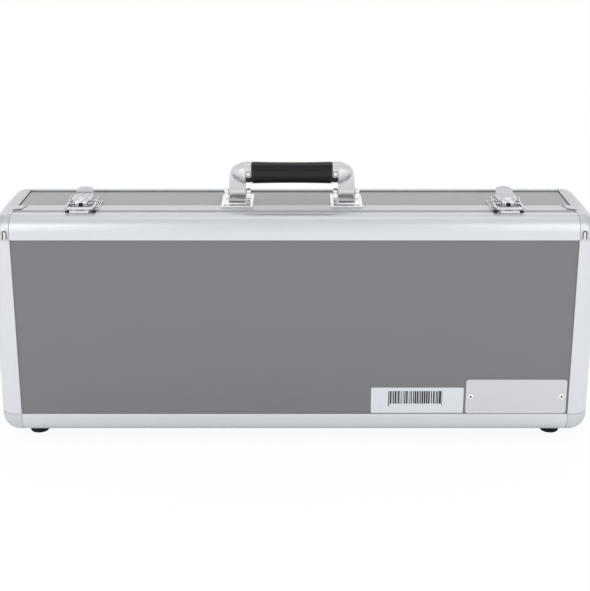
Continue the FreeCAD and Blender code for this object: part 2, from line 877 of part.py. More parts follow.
def latch_base(name, x):
    half = size("latch_half_width")
    plate_top = TOP + size("latch_plate")
    plate = box(name + "_plate", (x - half, latch_start, TOP), (x + half, latch_end, plate_top))
    pad_start = depth(RIM_END) + size("seat_gap")
    pad = box(name + "_pad", (x - half, pad_start, TOP - SKIN), (x + half, latch_end, TOP))
    pieces = [plate, pad]
    radius = size("latch_ear_radius")
    rise = size("lever_pivot_rise")
    outline = [
        (-radius, size("latch_plate")),
        (radius * 2, size("latch_plate")),
        (radius, rise),
        (ZERO, rise + radius, (ZERO, rise), radius),
        (-radius, rise, (ZERO, rise), radius),
    ]
    for side, sign in (("inner", -1), ("outer", 1)):
        ear = slab("%s_ear_%s" % (name, side), "yz", size("latch_ear_thickness"), outline)
        middle = x + sign * (ear_inside + ear_outside) / 2
        pieces.append(place(ear, middle, lever_y, TOP))
    bore = rod(name + "_bore", size("latch_pin_radius"), half * 2, (x - half, lever_y, lever_z), ALONG_X)
    holes = rivet_holes(name, latch_rivet_places(x), size("latch_plate"))
    return cut(name, fuse(name + "_solid", *pieces), bore, *holes)


def latch_rivet_places(x):
    inset = size("small_rivet_radius") + size("seat_gap")
    across = size("latch_half_width") - inset
    rows = (depth(RIM_END) - inset * 2, latch_end - inset)
    return [(x + sign_x * across, y) for sign_x in (-1, 1) for y in rows]


def latch_lever(name, x):
    """Hollow lever seen from the side: round nose, flat body, and a raised tab behind."""
    nose = size("lever_nose")
    wall = size("lever_wall")
    body_end = size("lever_length")
    tab_end = size("tab_length")
    tab_top = size("tab_rise") - size("lever_pivot_rise")
    skirt = size("lever_skirt")
    body_outline = [
        (ZERO, nose),
        (-nose, ZERO, (ZERO, ZERO), nose),
        (ZERO, -nose, (ZERO, ZERO), nose),
        (body_end - skirt, -skirt + wall / 2),
        (body_end, ZERO),
        (body_end, nose),
    ]
    tab_outline = [
        (body_end - wall * 2, nose - wall),
        (body_end, nose - wall),
        (tab_end, tab_top - wall),
        (tab_end - wall / 2, tab_top),
        (body_end - wall * 2, nose),
    ]
    body = place(slab(name + "_body", "yz", size("lever_half_width") * 2, body_outline), x, lever_y, lever_z)
    tab = place(slab(name + "_tab", "yz", size("tab_half_width") * 2, tab_outline), x, lever_y, lever_z)
    room = box(
        name + "_room",
        (x - lever_inner, lever_y - nose - OVERRUN, lever_z - nose - OVERRUN),
        (x + lever_inner, lever_y + body_end - wall, lever_z + nose - wall),
    )
    fit = size("running_fit")
    half = size("lever_half_width")
    bore_start = (x - half, lever_y, lever_z)
    bore = rod(name + "_bore", size("latch_pin_radius") + fit, half * 2, bore_start, ALONG_X)
    lock = rod(name + "_lock_bore", size("lock_radius") + fit, nose + OVERRUN, (x, lock_y, lever_z))
    return cut(name, fuse(name + "_solid", body, tab), room, bore, lock)


def bail_pins(name, x):
    """Two stub pins, riveted in the lever's sides, on which the bail swings."""
    radius = size("latch_pin_radius")
    starts = {"left": x - bail_outside, "right": x + lever_inner}
    return [
        rod("%s_%s" % (name, side), radius, bail_outside - lever_inner, (start, bail_y, bail_z), ALONG_X)
        for side, start in starts.items()
    ]


def latch_bail(name, x):
    """Two side arms and a front bar that hooks over the catch."""
    radius = size("bail_height") / 2
    front = bar_start - bail_y
    bar = size("bail_bar")
    low = size("catch_lip_rise") + size("bail_lift") + TOP - bail_z
    outline = [
        (ZERO, radius, (ZERO, ZERO), radius),
        (front, low + bar),
        (front, low),
        (front + bar, low),
        (ZERO, -radius),
        (radius, ZERO, (ZERO, ZERO), radius),
    ]
    pieces = []
    for side, sign in (("left", -1), ("right", 1)):
        arm = slab("%s_arm_%s" % (name, side), "yz", size("bail_wall"), outline)
        pieces.append(place(arm, x + sign * (bail_inside + bail_outside) / 2, bail_y, bail_z))
    bar_low = bail_z + low
    pieces.append(box(
        name + "_bar",
        (x - bail_outside, bar_start, bar_low),
        (x + bail_outside, bar_start + bar, bar_low + bar),
    ))
    fit_radius = size("latch_pin_radius") + size("running_fit")
    bore_start = (x - bail_outside, bail_y, bail_z)
    bore = rod(name + "_bore", fit_radius, bail_outside * 2, bore_start, ALONG_X)
    return cut(name, fuse(name + "_solid", *pieces), bore)


def lock_plug(name, x):
    """A turning barrel with a slot for a key in its face."""
    face = lever_z + size("lever_nose") + size("lock_proud")
    length = size("lock_length")
    barrel = rod(name + "_barrel", size("lock_radius"), length, (x, lock_y, face - length))
    half_width = size("key_slot_width") / 2
    half_length = size("key_slot_length") / 2
    slot = box(
        name + "_slot",
        (x - half_width, lock_y - half_length, face - length / 2),
        (x + half_width, lock_y + half_length, face + OVERRUN),
    )
    return cut(name, barrel, slot)


def latch_catch(name, x):
    """A plate on the lid with a raised lip that the bail's bar hooks behind."""
    half = size("catch_half_width")
    rear = depth(size("lid_depth") - size("catch_gap"))
    plate = box(name + "_plate", (x - half, depth(ROUND), TOP), (x + half, rear, TOP + size("catch_plate")))
    pad_start = depth(size("lid_edge_reach")) + size("seat_gap")
    pad = box(name + "_pad", (x - half, pad_start, TOP - SKIN), (x + half, rear, TOP))
    lip = box(
        name + "_lip",
        (x - half, bar_start, TOP),
        (x + half, bar_start + size("catch_lip"), TOP + size("catch_lip_rise")),
    )
    return fuse(name, plate, pad, lip)


catches = []
for side, sign in (("left", -1), ("right", 1)):
    x = sign * latch_x
    node(latch_base("latch_base_" + side, x))
    lever_body = latch_lever("latch_lever_body_" + side, x)
    node(fuse("latch_lever_" + side, lever_body, *bail_pins("bail_pin_" + side, x)))
    node(latch_bail("latch_bail_" + side, x))
    node(lock_plug("lock_plug_" + side, x))
    catches.append(latch_catch("latch_catch_" + side, x))
    pin_radius = size("latch_pin_radius")
    pin_length = size("lever_half_width") - ear_inside
    for stub, near in (("a", -size("lever_half_width")), ("b", ear_inside)):
        pin_start = (x + near, lever_y, lever_z)
        pins.append(rod("lever_pin_%s_%s" % (side, stub), pin_radius, pin_length, pin_start, ALONG_X))
    rivets += small_rivets("latch_" + side, latch_rivet_places(x), size("latch_plate"))
node(group("latch_catches", catches))

# Hinges under the bottom: two leaves with interleaved knuckles on a pin
hinge_x = HALF_WIDTH - size("hinge_side_inset")
hinge_y = depth(size("lid_depth") + size("split_gap") / 2)
hinge_z = BOTTOM - size("hinge_drop")
hinge_half = size("hinge_width") / 2
knuckle_length = (size("hinge_width") - size("hinge_knuckle_gap") * 2) / 3


def knuckle(name, x_start, leaf_y, leaf_z):
    """A knuckle with the web that joins it to its leaf."""
    start = (x_start, hinge_y, hinge_z)
    barrel = rod(name + "_barrel", size("knuckle_radius"), knuckle_length, start, ALONG_X)
    low_y, high_y = (hinge_y, leaf_y) if leaf_y.number > hinge_y.number else (leaf_y, hinge_y)
    web = box(name + "_web", (x_start, low_y, hinge_z), (x_start + knuckle_length, high_y, leaf_z))
    return [barrel, web]


def hinge_bore(name, x, radius):
    start = (x - hinge_half - OVERRUN, hinge_y, hinge_z)
    return rod(name, radius, (hinge_half + OVERRUN) * 2, start, ALONG_X)


def base_hinge_leaf(side, x):
    """The leaf on the base, with a knuckle at each end that holds the pin."""
    radius = size("knuckle_radius")
    start = hinge_y + radius / 2
    low = (x - hinge_half, start, BOTTOM - size("hinge_plate"))
    high = (x + hinge_half, start + size("hinge_base_leaf"), BOTTOM)
    pieces = [box("base_leaf_plate_" + side, low, high)]
    for end, x_start in (("a", x - hinge_half), ("b", x + hinge_half - knuckle_length)):
        pieces += knuckle("base_knuckle_%s_%s" % (side, end), x_start, start + radius / 2, BOTTOM)
    bore = hinge_bore("hinge_bore_" + side, x, size("hinge_pin_radius"))
    return cut("hinge_leaf_base_" + side, fuse("base_leaf_" + side, *pieces), bore)


def lid_hinge_leaf(side, x):
    """The leaf let into the lid's rim, with one knuckle that turns on the pin."""
    end = depth(size("lid_depth"))
    low = (x - hinge_half, depth(size("lid_edge_reach")) + size("seat_gap"), BOTTOM)
    plate = box("lid_leaf_plate_" + side, low, (x + hinge_half, end, BOTTOM + SKIN))
    web_end = end - size("knuckle_radius")
    pieces = knuckle("lid_knuckle_" + side, x - knuckle_length / 2, web_end, BOTTOM + SKIN / 2)
    bore = hinge_bore("hinge_free_bore_" + side, x, size("hinge_pin_radius") + size("running_fit"))
    return cut("hinge_leaf_lid_" + side, fuse("lid_leaf_" + side, plate, *pieces), bore)


base_leaves = []
lid_leaves = []
for side, sign in (("left", -1), ("right", 1)):
    x = sign * hinge_x
    base_leaves.append(base_hinge_leaf(side, x))
    lid_leaves.append(lid_hinge_leaf(side, x))
    pin_start = (x - hinge_half, hinge_y, hinge_z)
    pins.append(rod("hinge_pin_" + side, size("hinge_pin_radius"), size("hinge_width"), pin_start, ALONG_X))
node(group("base_hinge_leaves", base_leaves))
node(group("lid_hinge_leaves", lid_leaves))

# Rivets with upright oval heads through the upper corner pieces, on the front and the back
def corner_rivet(name, x, z, face, sign):
    """The head stands off the face, outward along Y by the sign, and the shank fills the skin."""
    radius = size("rivet_head_width") / 2
    straight = size("rivet_head_height") / 2 - radius
    outline = [
        (radius, -straight, (ZERO, -straight), radius),
        (radius, straight),
        (ZERO, straight + radius, (ZERO, straight), radius),
        (-radius, straight, (ZERO, straight), radius),
        (-radius, -straight),
        (ZERO, -straight - radius, (ZERO, -straight), radius),
    ]
    rise = size("rivet_head_rise")
    head = place(slab(name + "_head", "xz", rise, outline), x, face + sign * rise / 2, z)
    shank_start = face if sign < 0 else face - SKIN
    shank = rod(name + "_shank", size("rivet_shank_radius"), SKIN, (x, shank_start, z), ALONG_BACK)
    return fuse(name, head, shank)


lid_rivets = []
for side in ("left", "right"):
    x, z = corner_rivet_place(side)
    lid_rivets.append(corner_rivet("lid_rivet_" + side, x, z, FRONT, -1))
    rivets.append(corner_rivet("back_rivet_" + side, x, z, BACK, 1))

# Nameplate with two screws, at the lower right of the lid
plate_right = RUN_X - size("plate_right")
plate_left = plate_right - size("plate_width")
plate_low = MIDDLE - RUN_Z + size("plate_bottom")
plate_middle_x = (plate_left + plate_right) / 2
plate_middle_z = plate_low + size("plate_height") / 2


def plate_outline():
    half = size("plate_width") / 2
    rise = size("plate_height") / 2
    bend = size("plate_corner")
    return [
        (bend - half, -rise, (bend - half, bend - rise), bend),
        (half - bend, -rise),
        (half, bend - rise, (half - bend, bend - rise), bend),
        (half, rise - bend),
        (half - bend, rise, (half - bend, rise - bend), bend),
        (bend - half, rise),
        (-half, rise - bend, (bend - half, rise - bend), bend),
        (-half, bend - rise),
    ]


plate_blank = slab("nameplate_blank", "xz", size("plate_thickness"), plate_outline())
place(plate_blank, plate_middle_x, depth(SKIN - size("plate_thickness") / 2), plate_middle_z)
screws = []
screw_holes = []
for side, sign in (("left", -1), ("right", 1)):
    screw_x = plate_middle_x + sign * (size("plate_width") / 2 - size("plate_screw_inset"))
    hole_start = (screw_x, depth(SKIN) - OVERRUN, plate_middle_z)
    hole = rod("nameplate_hole_" + side, size("rivet_shank_radius"), OVERRUN * 2, hole_start, ALONG_BACK)
    screw_holes.append(hole)
    screws.append(rivet(
        "nameplate_screw_" + side,
        (screw_x, depth(SKIN - size("plate_thickness")), plate_middle_z),
        size("plate_screw_radius"),
        size("plate_screw_rise"),
        size("plate_thickness"),
        POINT_FORWARD,
    ))
node(cut("nameplate", plate_blank, *screw_holes))
node(group("nameplate_screws", screws))
node(group("lid_rivets", lid_rivets))
node(group("base_rivets", rivets))
node(group("pivot_pins", pins))

document.recompute()

# Every object has to be sound before anything is written
faults = []
for thing in document.Objects:
    if any(word in thing.State for word in ("Invalid", "Error")):
        faults.append("%s is %s" % (thing.Name, ", ".join(thing.State)))
for thing in nodes:
    if thing.Shape.isNull() or not thing.Shape.isValid():
        faults.append("%s has no valid shape" % thing.Label)
    elif not thing.Shape.Solids:
        faults.append("%s has no solid" % thing.Label)
if faults:
    raise SystemExit("\n".join(faults))

os.makedirs("parts", exist_ok=True)
for thing in nodes:
    thing.Shape.exportStep("parts/%s.step" % thing.Label)
print("%d nodes written" % len(nodes))
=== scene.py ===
import json
import math
import random

import bmesh
import bpy
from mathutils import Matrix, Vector, noise


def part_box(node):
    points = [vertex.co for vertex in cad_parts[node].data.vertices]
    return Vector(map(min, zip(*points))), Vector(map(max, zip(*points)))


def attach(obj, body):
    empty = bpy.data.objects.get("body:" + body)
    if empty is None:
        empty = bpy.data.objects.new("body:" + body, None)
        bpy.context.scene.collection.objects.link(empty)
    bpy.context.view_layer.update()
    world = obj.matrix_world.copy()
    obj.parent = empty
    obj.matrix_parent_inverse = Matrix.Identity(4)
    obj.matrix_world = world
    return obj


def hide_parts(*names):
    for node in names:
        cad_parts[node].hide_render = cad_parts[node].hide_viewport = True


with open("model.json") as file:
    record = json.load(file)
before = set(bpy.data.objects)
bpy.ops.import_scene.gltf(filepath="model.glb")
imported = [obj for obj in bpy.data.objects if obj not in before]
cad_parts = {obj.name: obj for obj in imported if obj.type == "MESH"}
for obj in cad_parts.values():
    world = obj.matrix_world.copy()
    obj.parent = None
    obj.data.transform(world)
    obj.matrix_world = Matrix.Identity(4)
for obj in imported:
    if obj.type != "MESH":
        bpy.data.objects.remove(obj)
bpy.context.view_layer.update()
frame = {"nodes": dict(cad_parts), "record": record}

# An equipment case standing on its feet: grey panels in rounded silver edges, with chrome hardware on top.
# Metres. X runs along the width, Y from the lid at the front to the back, Z up.

SIDES = {"left": -1, "right": 1}
MM = 0.001

# Places read from the frame
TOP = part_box("base_rim_top")[1].z
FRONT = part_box("lid_edge_top")[0].y
PANEL_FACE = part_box("lid_panel")[0].y
HINGES = {joint["name"]: Vector(joint["pos_m"]) for joint in frame["record"]["behaviour"]["joints"]}


# Shader nodes. A mix node has its own sockets for each kind of value: these are for numbers and for colours.
NUMBER_A, NUMBER_B, NUMBER_RESULT = 2, 3, 0
COLOUR_A, COLOUR_B, COLOUR_RESULT = 6, 7, 2
NOISE_RANGE = (0.3, 0.7)


def map_range(tree, value, source, target):
    """Maps the value from the source range onto the target range."""
    ranged = tree.nodes.new("ShaderNodeMapRange")
    for socket, number in zip(("From Min", "From Max", "To Min", "To Max"), (*source, *target)):
        ranged.inputs[socket].default_value = number
    tree.links.new(value, ranged.inputs["Value"])
    return ranged.outputs["Result"]


def calculated(tree, operation, *terms):
    """A math node's result; each term is a number or an output of another node."""
    node = tree.nodes.new("ShaderNodeMath")
    node.operation = operation
    for socket, term in zip(node.inputs, terms):
        if isinstance(term, float):
            socket.default_value = term
        else:
            tree.links.new(term, socket)
    return node.outputs[0]


# Materials
class Paint:
    """A node material: a principled shader, with helpers that add nodes to it."""

    def __init__(self, name, **sockets):
        self.material = bpy.data.materials.new(name)
        self.material.use_nodes = True
        self.tree = self.material.node_tree
        self.shader = self.tree.nodes["Principled BSDF"]
        for socket, value in sockets.items():
            self.shader.inputs[socket.replace("_", " ")].default_value = value
        self.place = self.add("ShaderNodeTexCoord").outputs["Object"]

    def add(self, kind, **settings):
        node = self.tree.nodes.new(kind)
        for field, value in settings.items():
            setattr(node, field, value)
        return node

    def link(self, source, target):
        self.tree.links.new(source, target)

    def stretched(self, scale):
        """The object's coordinates, multiplied by one number or by one for each axis."""
        mapping = self.add("ShaderNodeMapping")
        mapping.inputs["Scale"].default_value = scale if isinstance(scale, tuple) else (scale,) * 3
        self.link(self.place, mapping.inputs["Vector"])
        return mapping.outputs["Vector"]

    def cloud(self, scale, detail, rough=0.5):
        """Soft noise from 0 to 1; the scale is in cells a metre."""
        texture = self.add("ShaderNodeTexNoise")
        texture.inputs["Scale"].default_value = 1.0
        texture.inputs["Detail"].default_value = detail
        texture.inputs["Roughness"].default_value = rough
        self.link(self.stretched(scale), texture.inputs["Vector"])
        return texture.outputs["Fac"]

    def cells(self, scale):
        """Distance from the middle of a random cell, in cells; the scale is in cells a metre."""
        texture = self.add("ShaderNodeTexVoronoi", feature="F1")
        texture.inputs["Scale"].default_value = 1.0
        self.link(self.stretched(scale), texture.inputs["Vector"])
        return texture.outputs["Distance"]

    def colour(self, value, first, second):
        """Blends the base colour from the first to the second as the value goes from 0 to 1."""
        mix = self.add("ShaderNodeMix", data_type="RGBA")
        mix.inputs[COLOUR_A].default_value = (*first, 1)
        mix.inputs[COLOUR_B].default_value = (*second, 1)
        self.link(value, mix.inputs["Factor"])
        self.link(mix.outputs[COLOUR_RESULT], self.shader.inputs["Base Color"])

    def roughness(self, value, low, high):
        """Roughness from low to high over the range that soft noise mostly keeps to."""
        self.link(map_range(self.tree, value, NOISE_RANGE, (low, high)), self.shader.inputs["Roughness"])

    def bump(self, value, height, strength):
        """Relief of the given height in metres; several calls add up."""
        relief = self.add("ShaderNodeBump")
        relief.inputs["Strength"].default_value = strength
        relief.inputs["Distance"].default_value = height
        self.link(value, relief.inputs["Height"])
        old = self.shader.inputs["Normal"].links
        if old:
            self.link(old[0].from_socket, relief.inputs["Normal"])
        self.link(relief.outputs["Normal"], self.shader.inputs["Normal"])


def tinted(colour, factor):
    return tuple(min(1.0, channel * factor) for channel in colour)


def laminate():
    grey = (0.128, 0.135, 0.146)
    paint = Paint("grey_laminate", IOR=1.82)
    paint.bump(paint.cloud(1700, 4), 0.00001, 0.35)
    paint.bump(paint.cloud((7, 60, 60), 2), 0.0002, 0.2)
    mottle = paint.cloud(14, 4)
    paint.colour(mottle, tinted(grey, 0.975), tinted(grey, 1.025))
    paint.roughness(paint.cloud(90, 3), 0.12, 0.20)
    return paint.material


def aluminium(run, shade, title):
    """Satin anodised extrusion, with die lines along the run axis."""
    silver = tinted((0.715, 0.735, 0.768), shade)
    paint = Paint("%s_aluminium_%s" % (title, run), Metallic=1.0)
    along, across = 5, 1500
    scale = tuple(along if axis == run else across for axis in "xyz")
    lines = paint.cloud(scale, 3, 0.6)
    paint.bump(lines, 0.000012, 0.35)
    paint.bump(paint.cloud(5200, 2), 0.000006, 0.25)
    haze = paint.cloud(26, 4)
    paint.colour(haze, tinted(silver, 0.975), tinted(silver, 1.02))
    paint.roughness(lines, 0.32, 0.42)
    return paint.material


def pressed_metal():
    silver = (0.64, 0.66, 0.685)
    paint = Paint("pressed_corner", Metallic=1.0)
    grain = paint.cloud(1900, 4)
    paint.bump(grain, 0.000012, 0.4)
    paint.colour(paint.cloud(60, 5), tinted(silver, 0.95), tinted(silver, 1.03))
    paint.roughness(grain, 0.30, 0.42)
    return paint.material


def rim_strip():
    grey = (0.53, 0.538, 0.545)
    paint = Paint("grey_rim_strip", Metallic=0.6)
    lines = paint.cloud((9, 1300, 1300), 3)
    paint.bump(lines, 0.00002, 0.3)
    paint.colour(paint.cloud(40, 4), tinted(grey, 0.96), tinted(grey, 1.04))
    paint.roughness(lines, 0.40, 0.52)
    return paint.material


def chrome(bright, title, low=0.05, high=0.14):
    paint = Paint(title + "_chrome", Metallic=1.0)
    smudge = paint.cloud(110, 5, 0.6)
    paint.bump(paint.cloud(420, 2), 0.00003, 0.3)
    paint.colour(smudge, tinted(bright, 0.95), tinted(bright, 1.02))
    paint.roughness(smudge, low, high)
    return paint.material


def satin_cast():
    bright = (0.72, 0.73, 0.745)
    paint = Paint("satin_cast", Metallic=1.0)
    grain = paint.cloud(1700, 4)
    paint.bump(grain, 0.00001, 0.4)
    paint.colour(paint.cloud(90, 5), tinted(bright, 0.96), tinted(bright, 1.02))
    paint.roughness(grain, 0.36, 0.46)
    return paint.material


def zinc_steel(grey, title):
    paint = Paint(title, Metallic=1.0)
    grain = paint.cloud(1200, 4)
    paint.bump(grain, 0.00001, 0.5)
    paint.colour(paint.cells(260), tinted(grey, 0.85), tinted(grey, 1.08))
    paint.roughness(grain, 0.20, 0.36)
    return paint.material


def plate_metal():
    silver = (0.64, 0.655, 0.68)
    paint = Paint("satin_plate", Metallic=0.8)
    brushed = paint.cloud((30, 2200, 2200), 3, 0.6)
    paint.bump(brushed, 0.00001, 0.4)
    paint.colour(brushed, tinted(silver, 0.97), tinted(silver, 1.03))
    paint.roughness(brushed, 0.34, 0.46)
    return paint.material


def grip_black():
    black = (0.004, 0.004, 0.006)
    paint = Paint("black_grip", Specular_IOR_Level=0.38)
    paint.bump(paint.cloud((900, 1500, 1500), 3), 0.00001, 0.3)
    paint.bump(paint.cloud((14, 260, 260), 3), 0.0002, 0.25)
    paint.colour(paint.cloud((70, 240, 240), 4), tinted(black, 0.8), tinted(black, 1.5))
    paint.roughness(paint.cloud((60, 300, 300), 4), 0.13, 0.20)
    return paint.material


def foot_rubber():
    black = (0.008, 0.008, 0.009)
    paint = Paint("foot_rubber", Specular_IOR_Level=0.2)
    grain = paint.cloud(1400, 4)
    paint.bump(grain, 0.00006, 0.5)
    paint.colour(paint.cloud(200, 4), black, tinted(black, 2.2))
    paint.roughness(grain, 0.55, 0.75)
    return paint.material


def foam_charcoal():
    charcoal = (0.020, 0.020, 0.022)
    paint = Paint("charcoal_foam", Roughness=1.0, Sheen_Weight=0.25, Specular_IOR_Level=0.1)
    pores_and_shade = paint.cells(1100)
    paint.bump(pores_and_shade, 0.0006, 0.9)
    paint.bump(paint.cloud(260, 4), 0.0005, 0.5)
    # The colour is darker at the middle of each pore, where the bump is lowest: painted shade in the hollows
    paint.colour(pores_and_shade, tinted(charcoal, 0.5), tinted(charcoal, 3.2))
    return paint.material


def label_paper():
    white = (0.655, 0.685, 0.725)
    paint = Paint("label_paper", Specular_IOR_Level=0.35)
    fibres = paint.cloud((900, 2400, 2400), 5, 0.7)
    paint.bump(fibres, 0.00001, 0.4)
    paint.colour(paint.cloud(120, 4), tinted(white, 0.98), tinted(white, 1.02))
    paint.roughness(fibres, 0.42, 0.60)
    return paint.material


def label_ink():
    ink = (0.016, 0.016, 0.020)
    paint = Paint("label_ink", Specular_IOR_Level=0.2)
    specks = paint.cloud(2400, 3, 0.6)
    paint.colour(specks, ink, tinted(ink, 2.4))
    paint.roughness(specks, 0.45, 0.65)
    return paint.material


def painted_shade_material():
    # Near-black for pieces that stand in for shade: painted shade in gaps, hollows and undersides, with a
    # random mottle
    black = (0.018, 0.018, 0.020)
    paint = Paint("painted_shade_material", Metallic=0.4)
    shade_mottle = paint.cloud(700, 3)
    paint.colour(shade_mottle, tinted(black, 0.6), tinted(black, 2.0))
    paint.roughness(shade_mottle, 0.35, 0.6)
    return paint.material


LAMINATE = laminate()
ALUMINIUM = {run: aluminium(run, 1.0, "satin") for run in "xyz"}
# The base's extrusions take darker copies of the same aluminium: painted shade, for the less light they catch
SHADED_ALUMINIUM = {run: aluminium(run, shade, "base") for run, shade in zip("xyz", (0.90, 0.83, 0.90))}
CORNER = pressed_metal()
RIM = rim_strip()
CHROME = chrome((0.89, 0.90, 0.915), "bright")
# Painted shade and highlight: the latches take a darker copy of the chrome, and the brackets a lighter one
LATCH_SHADED_CHROME = chrome((0.68, 0.69, 0.715), "latch")
BRACKET_LIT_CHROME = chrome((0.94, 0.95, 0.96), "bracket", 0.18, 0.30)
CAST = satin_cast()
STEEL = zinc_steel((0.55, 0.56, 0.57), "zinc_steel")
# A darker dull metal: painted shade for the floor of each bracket's pocket
POCKET_SHADE_METAL = zinc_steel((0.43, 0.435, 0.45), "pocket_painted_shade")
PLATE = plate_metal()
GRIP = grip_black()
RUBBER = foot_rubber()
FOAM = foam_charcoal()
PAPER = label_paper()
INK = label_ink()
PAINTED_SHADE = painted_shade_material()


def material_of(node):
    if node == "nameplate":
        return PLATE
    if "foam" in node:
        return FOAM
    if node.startswith("rubber_foot"):
        return RUBBER
    if node == "handle_grip":
        return GRIP
    if node.startswith("handle_arm"):
        return CAST
    if node == "nameplate_screws" or node.startswith(("handle_bracket", "latch", "lock")):
        return CHROME
    if node == "lid_rim":
        return RIM
    if "corner" in node:
        return CORNER
    if "panel" in node:
        return LAMINATE
    if "side_edge" in node:
        return SHADED_ALUMINIUM["y"]
    if "edge" in node or "base_rim" in node:
        run = "x" if node.endswith(("top", "bottom")) else "z"
        return SHADED_ALUMINIUM[run] if node.startswith("base") else ALUMINIUM[run]
    return STEEL


for node, thing in frame["nodes"].items():
    thing.data.materials.clear()
    thing.data.materials.append(material_of(node))


# Mesh building: each solid is a list of vertices and a list of faces
def turns(count, start=0.0, arc=2 * math.pi):
    """Evenly spaced angles; the far end of the arc is left out."""
    return [start + arc * index / count for index in range(count)]


def loft(rings):
    """Joins rings of equally many points, and caps both ends."""
    count = len(rings[0])
    vertices = [tuple(point) for ring in rings for point in ring]
    faces = []
    for start in range(0, (len(rings) - 1) * count, count):
        for index in range(count):
            beside = (index + 1) % count
            faces.append((start + index, start + beside, start + beside + count, start + index + count))
    faces.append(tuple(reversed(range(count))))
    faces.append(tuple(range((len(rings) - 1) * count, len(rings) * count)))
    return vertices, faces


def block(low, high):
    (x0, y0, z0), (x1, y1, z1) = low, high
    return loft([[(x0, y0, z), (x1, y0, z), (x1, y1, z), (x0, y1, z)] for z in (z0, z1)])


def prism(outline, start, end):
    """An outline of (y, z) points, drawn along X from start to end."""
    return loft([[(x, y, z) for y, z in outline] for x in (start, end)])


def upright(outline, start, end):
    """An outline of (x, y) points, drawn up Z from start to end."""
    return loft([[(x, y, z) for x, y in outline] for z in (start, end)])


def lathe_x(stations, centre, count, start=0.0, arc=2 * math.pi):
    """A turned form along X, from (x, radius) stations."""
    y, z = centre
    angles = turns(count, start, arc)
    return loft([[(x, y + r * math.cos(a), z + r * math.sin(a)) for a in angles] for x, r in stations])


def lathe_z(stations, centre, count):
    """A turned form up Z, from (z, radius) stations."""
    x, y = centre
    return loft([[(x + r * math.cos(a), y + r * math.sin(a), z) for a in turns(count)] for z, r in stations])


def tube(inner, outer, low, high, centre):
    """A ring round a Z axis, between two radii and two heights."""
    count = 48
    x, y = centre
    section = [(inner, low), (outer, low), (outer, high), (inner, high)]
    vertices = [(x + r * math.cos(a), y + r * math.sin(a), z) for a in turns(count) for r, z in section]
    faces = []
    for index in range(count):
        here, beside = index * 4, (index + 1) % count * 4
        for corner in range(4):
            after = (corner + 1) % 4
            faces.append((here + corner, here + after, beside + after, beside + corner))
    return vertices, faces


def sweep(points, half_width, half_height, count=16):
    """A rounded bar that follows points, its width level and its height upright."""
    squareness = 0.6
    points = [Vector(point) for point in points]
    rings = []
    for index, point in enumerate(points):
        ahead = points[min(index + 1, len(points) - 1)] - points[max(index - 1, 0)]
        side = ahead.cross(Vector((0, 0, 1))).normalized()
        up = side.cross(ahead).normalized()
        ring = []
        for a in turns(count):
            across, rise = math.cos(a), math.sin(a)
            ring.append(
                point
                + side * half_width * math.copysign(abs(across) ** squareness, across)
                + up * half_height * math.copysign(abs(rise) ** squareness, rise)
            )
        rings.append(ring)
    return loft(rings)


def rounded_outline(half_x, half_y, radius, centre=(0, 0)):
    """A rectangle with rounded corners, as (x, y) points."""
    steps = 8
    points = []
    for quarter, (sign_x, sign_y) in enumerate(((1, 1), (-1, 1), (-1, -1), (1, -1))):
        middle = (centre[0] + sign_x * (half_x - radius), centre[1] + sign_y * (half_y - radius))
        for step in range(steps + 1):
            a = math.pi / 2 * (quarter + step / steps)
            points.append((middle[0] + radius * math.cos(a), middle[1] + radius * math.sin(a)))
    return points


def gathered(solids, scale):
    """Several solids in one list of vertices and one of faces."""
    vertices, faces = [], []
    for solid_vertices, solid_faces in solids:
        offset = len(vertices)
        vertices += [tuple(value * scale for value in vertex) for vertex in solid_vertices]
        faces += [tuple(index + offset for index in face) for face in solid_faces]
    return vertices, faces


def new_object(name, solids, scale=1.0):
    vertices, faces = gathered(solids, scale)
    mesh = bpy.data.meshes.new(name)
    mesh.from_pydata(vertices, [], faces)
    form = bmesh.new()
    form.from_mesh(mesh)
    bmesh.ops.recalc_face_normals(form, faces=form.faces)
    form.to_mesh(mesh)
    form.free()
    thing = bpy.data.objects.new(name, mesh)
    bpy.context.scene.collection.objects.link(thing)
    return thing


def settle(thing):
    """Applies the modifiers to the mesh."""
    graph = bpy.context.evaluated_depsgraph_get()
    mesh = bpy.data.meshes.new_from_object(thing.evaluated_get(graph))
    thing.modifiers.clear()
    thing.data = mesh


def smooth_shading(thing, angle=35):
    """Shades smooth, but for edges sharper than the angle in degrees."""
    form = bmesh.new()
    form.from_mesh(thing.data)
    limit = math.radians(angle)
    for face in form.faces:
        face.smooth = True
    for edge in form.edges:
        edge.smooth = edge.is_manifold and edge.calc_face_angle(0.0) < limit
    form.to_mesh(thing.data)
    form.free()


def cast(name, solids, cuts=(), *, grain, softness):
    """One smooth skin over overlapping solids in millimetres, less the cuts, with its edges rounded over.

    The grain is the skin's cell size in metres, and the softness the number of smoothing steps.
    """
    thing = new_object(name, solids, MM)
    cutter = None
    if cuts:
        cutter = new_object(name + "_cutter", cuts, MM)
        carve = thing.modifiers.new("carve", "BOOLEAN")
        carve.operation = "DIFFERENCE"
        carve.solver = "EXACT"
        carve.use_self = True
        carve.object = cutter
    skin = thing.modifiers.new("skin", "REMESH")
    skin.mode = "VOXEL"
    skin.voxel_size = grain
    relax = thing.modifiers.new("relax", "SMOOTH")
    relax.factor = 0.5
    relax.iterations = softness
    settle(thing)
    if cutter:
        bpy.data.objects.remove(cutter)
    for polygon in thing.data.polygons:
        polygon.use_smooth = True
    return thing


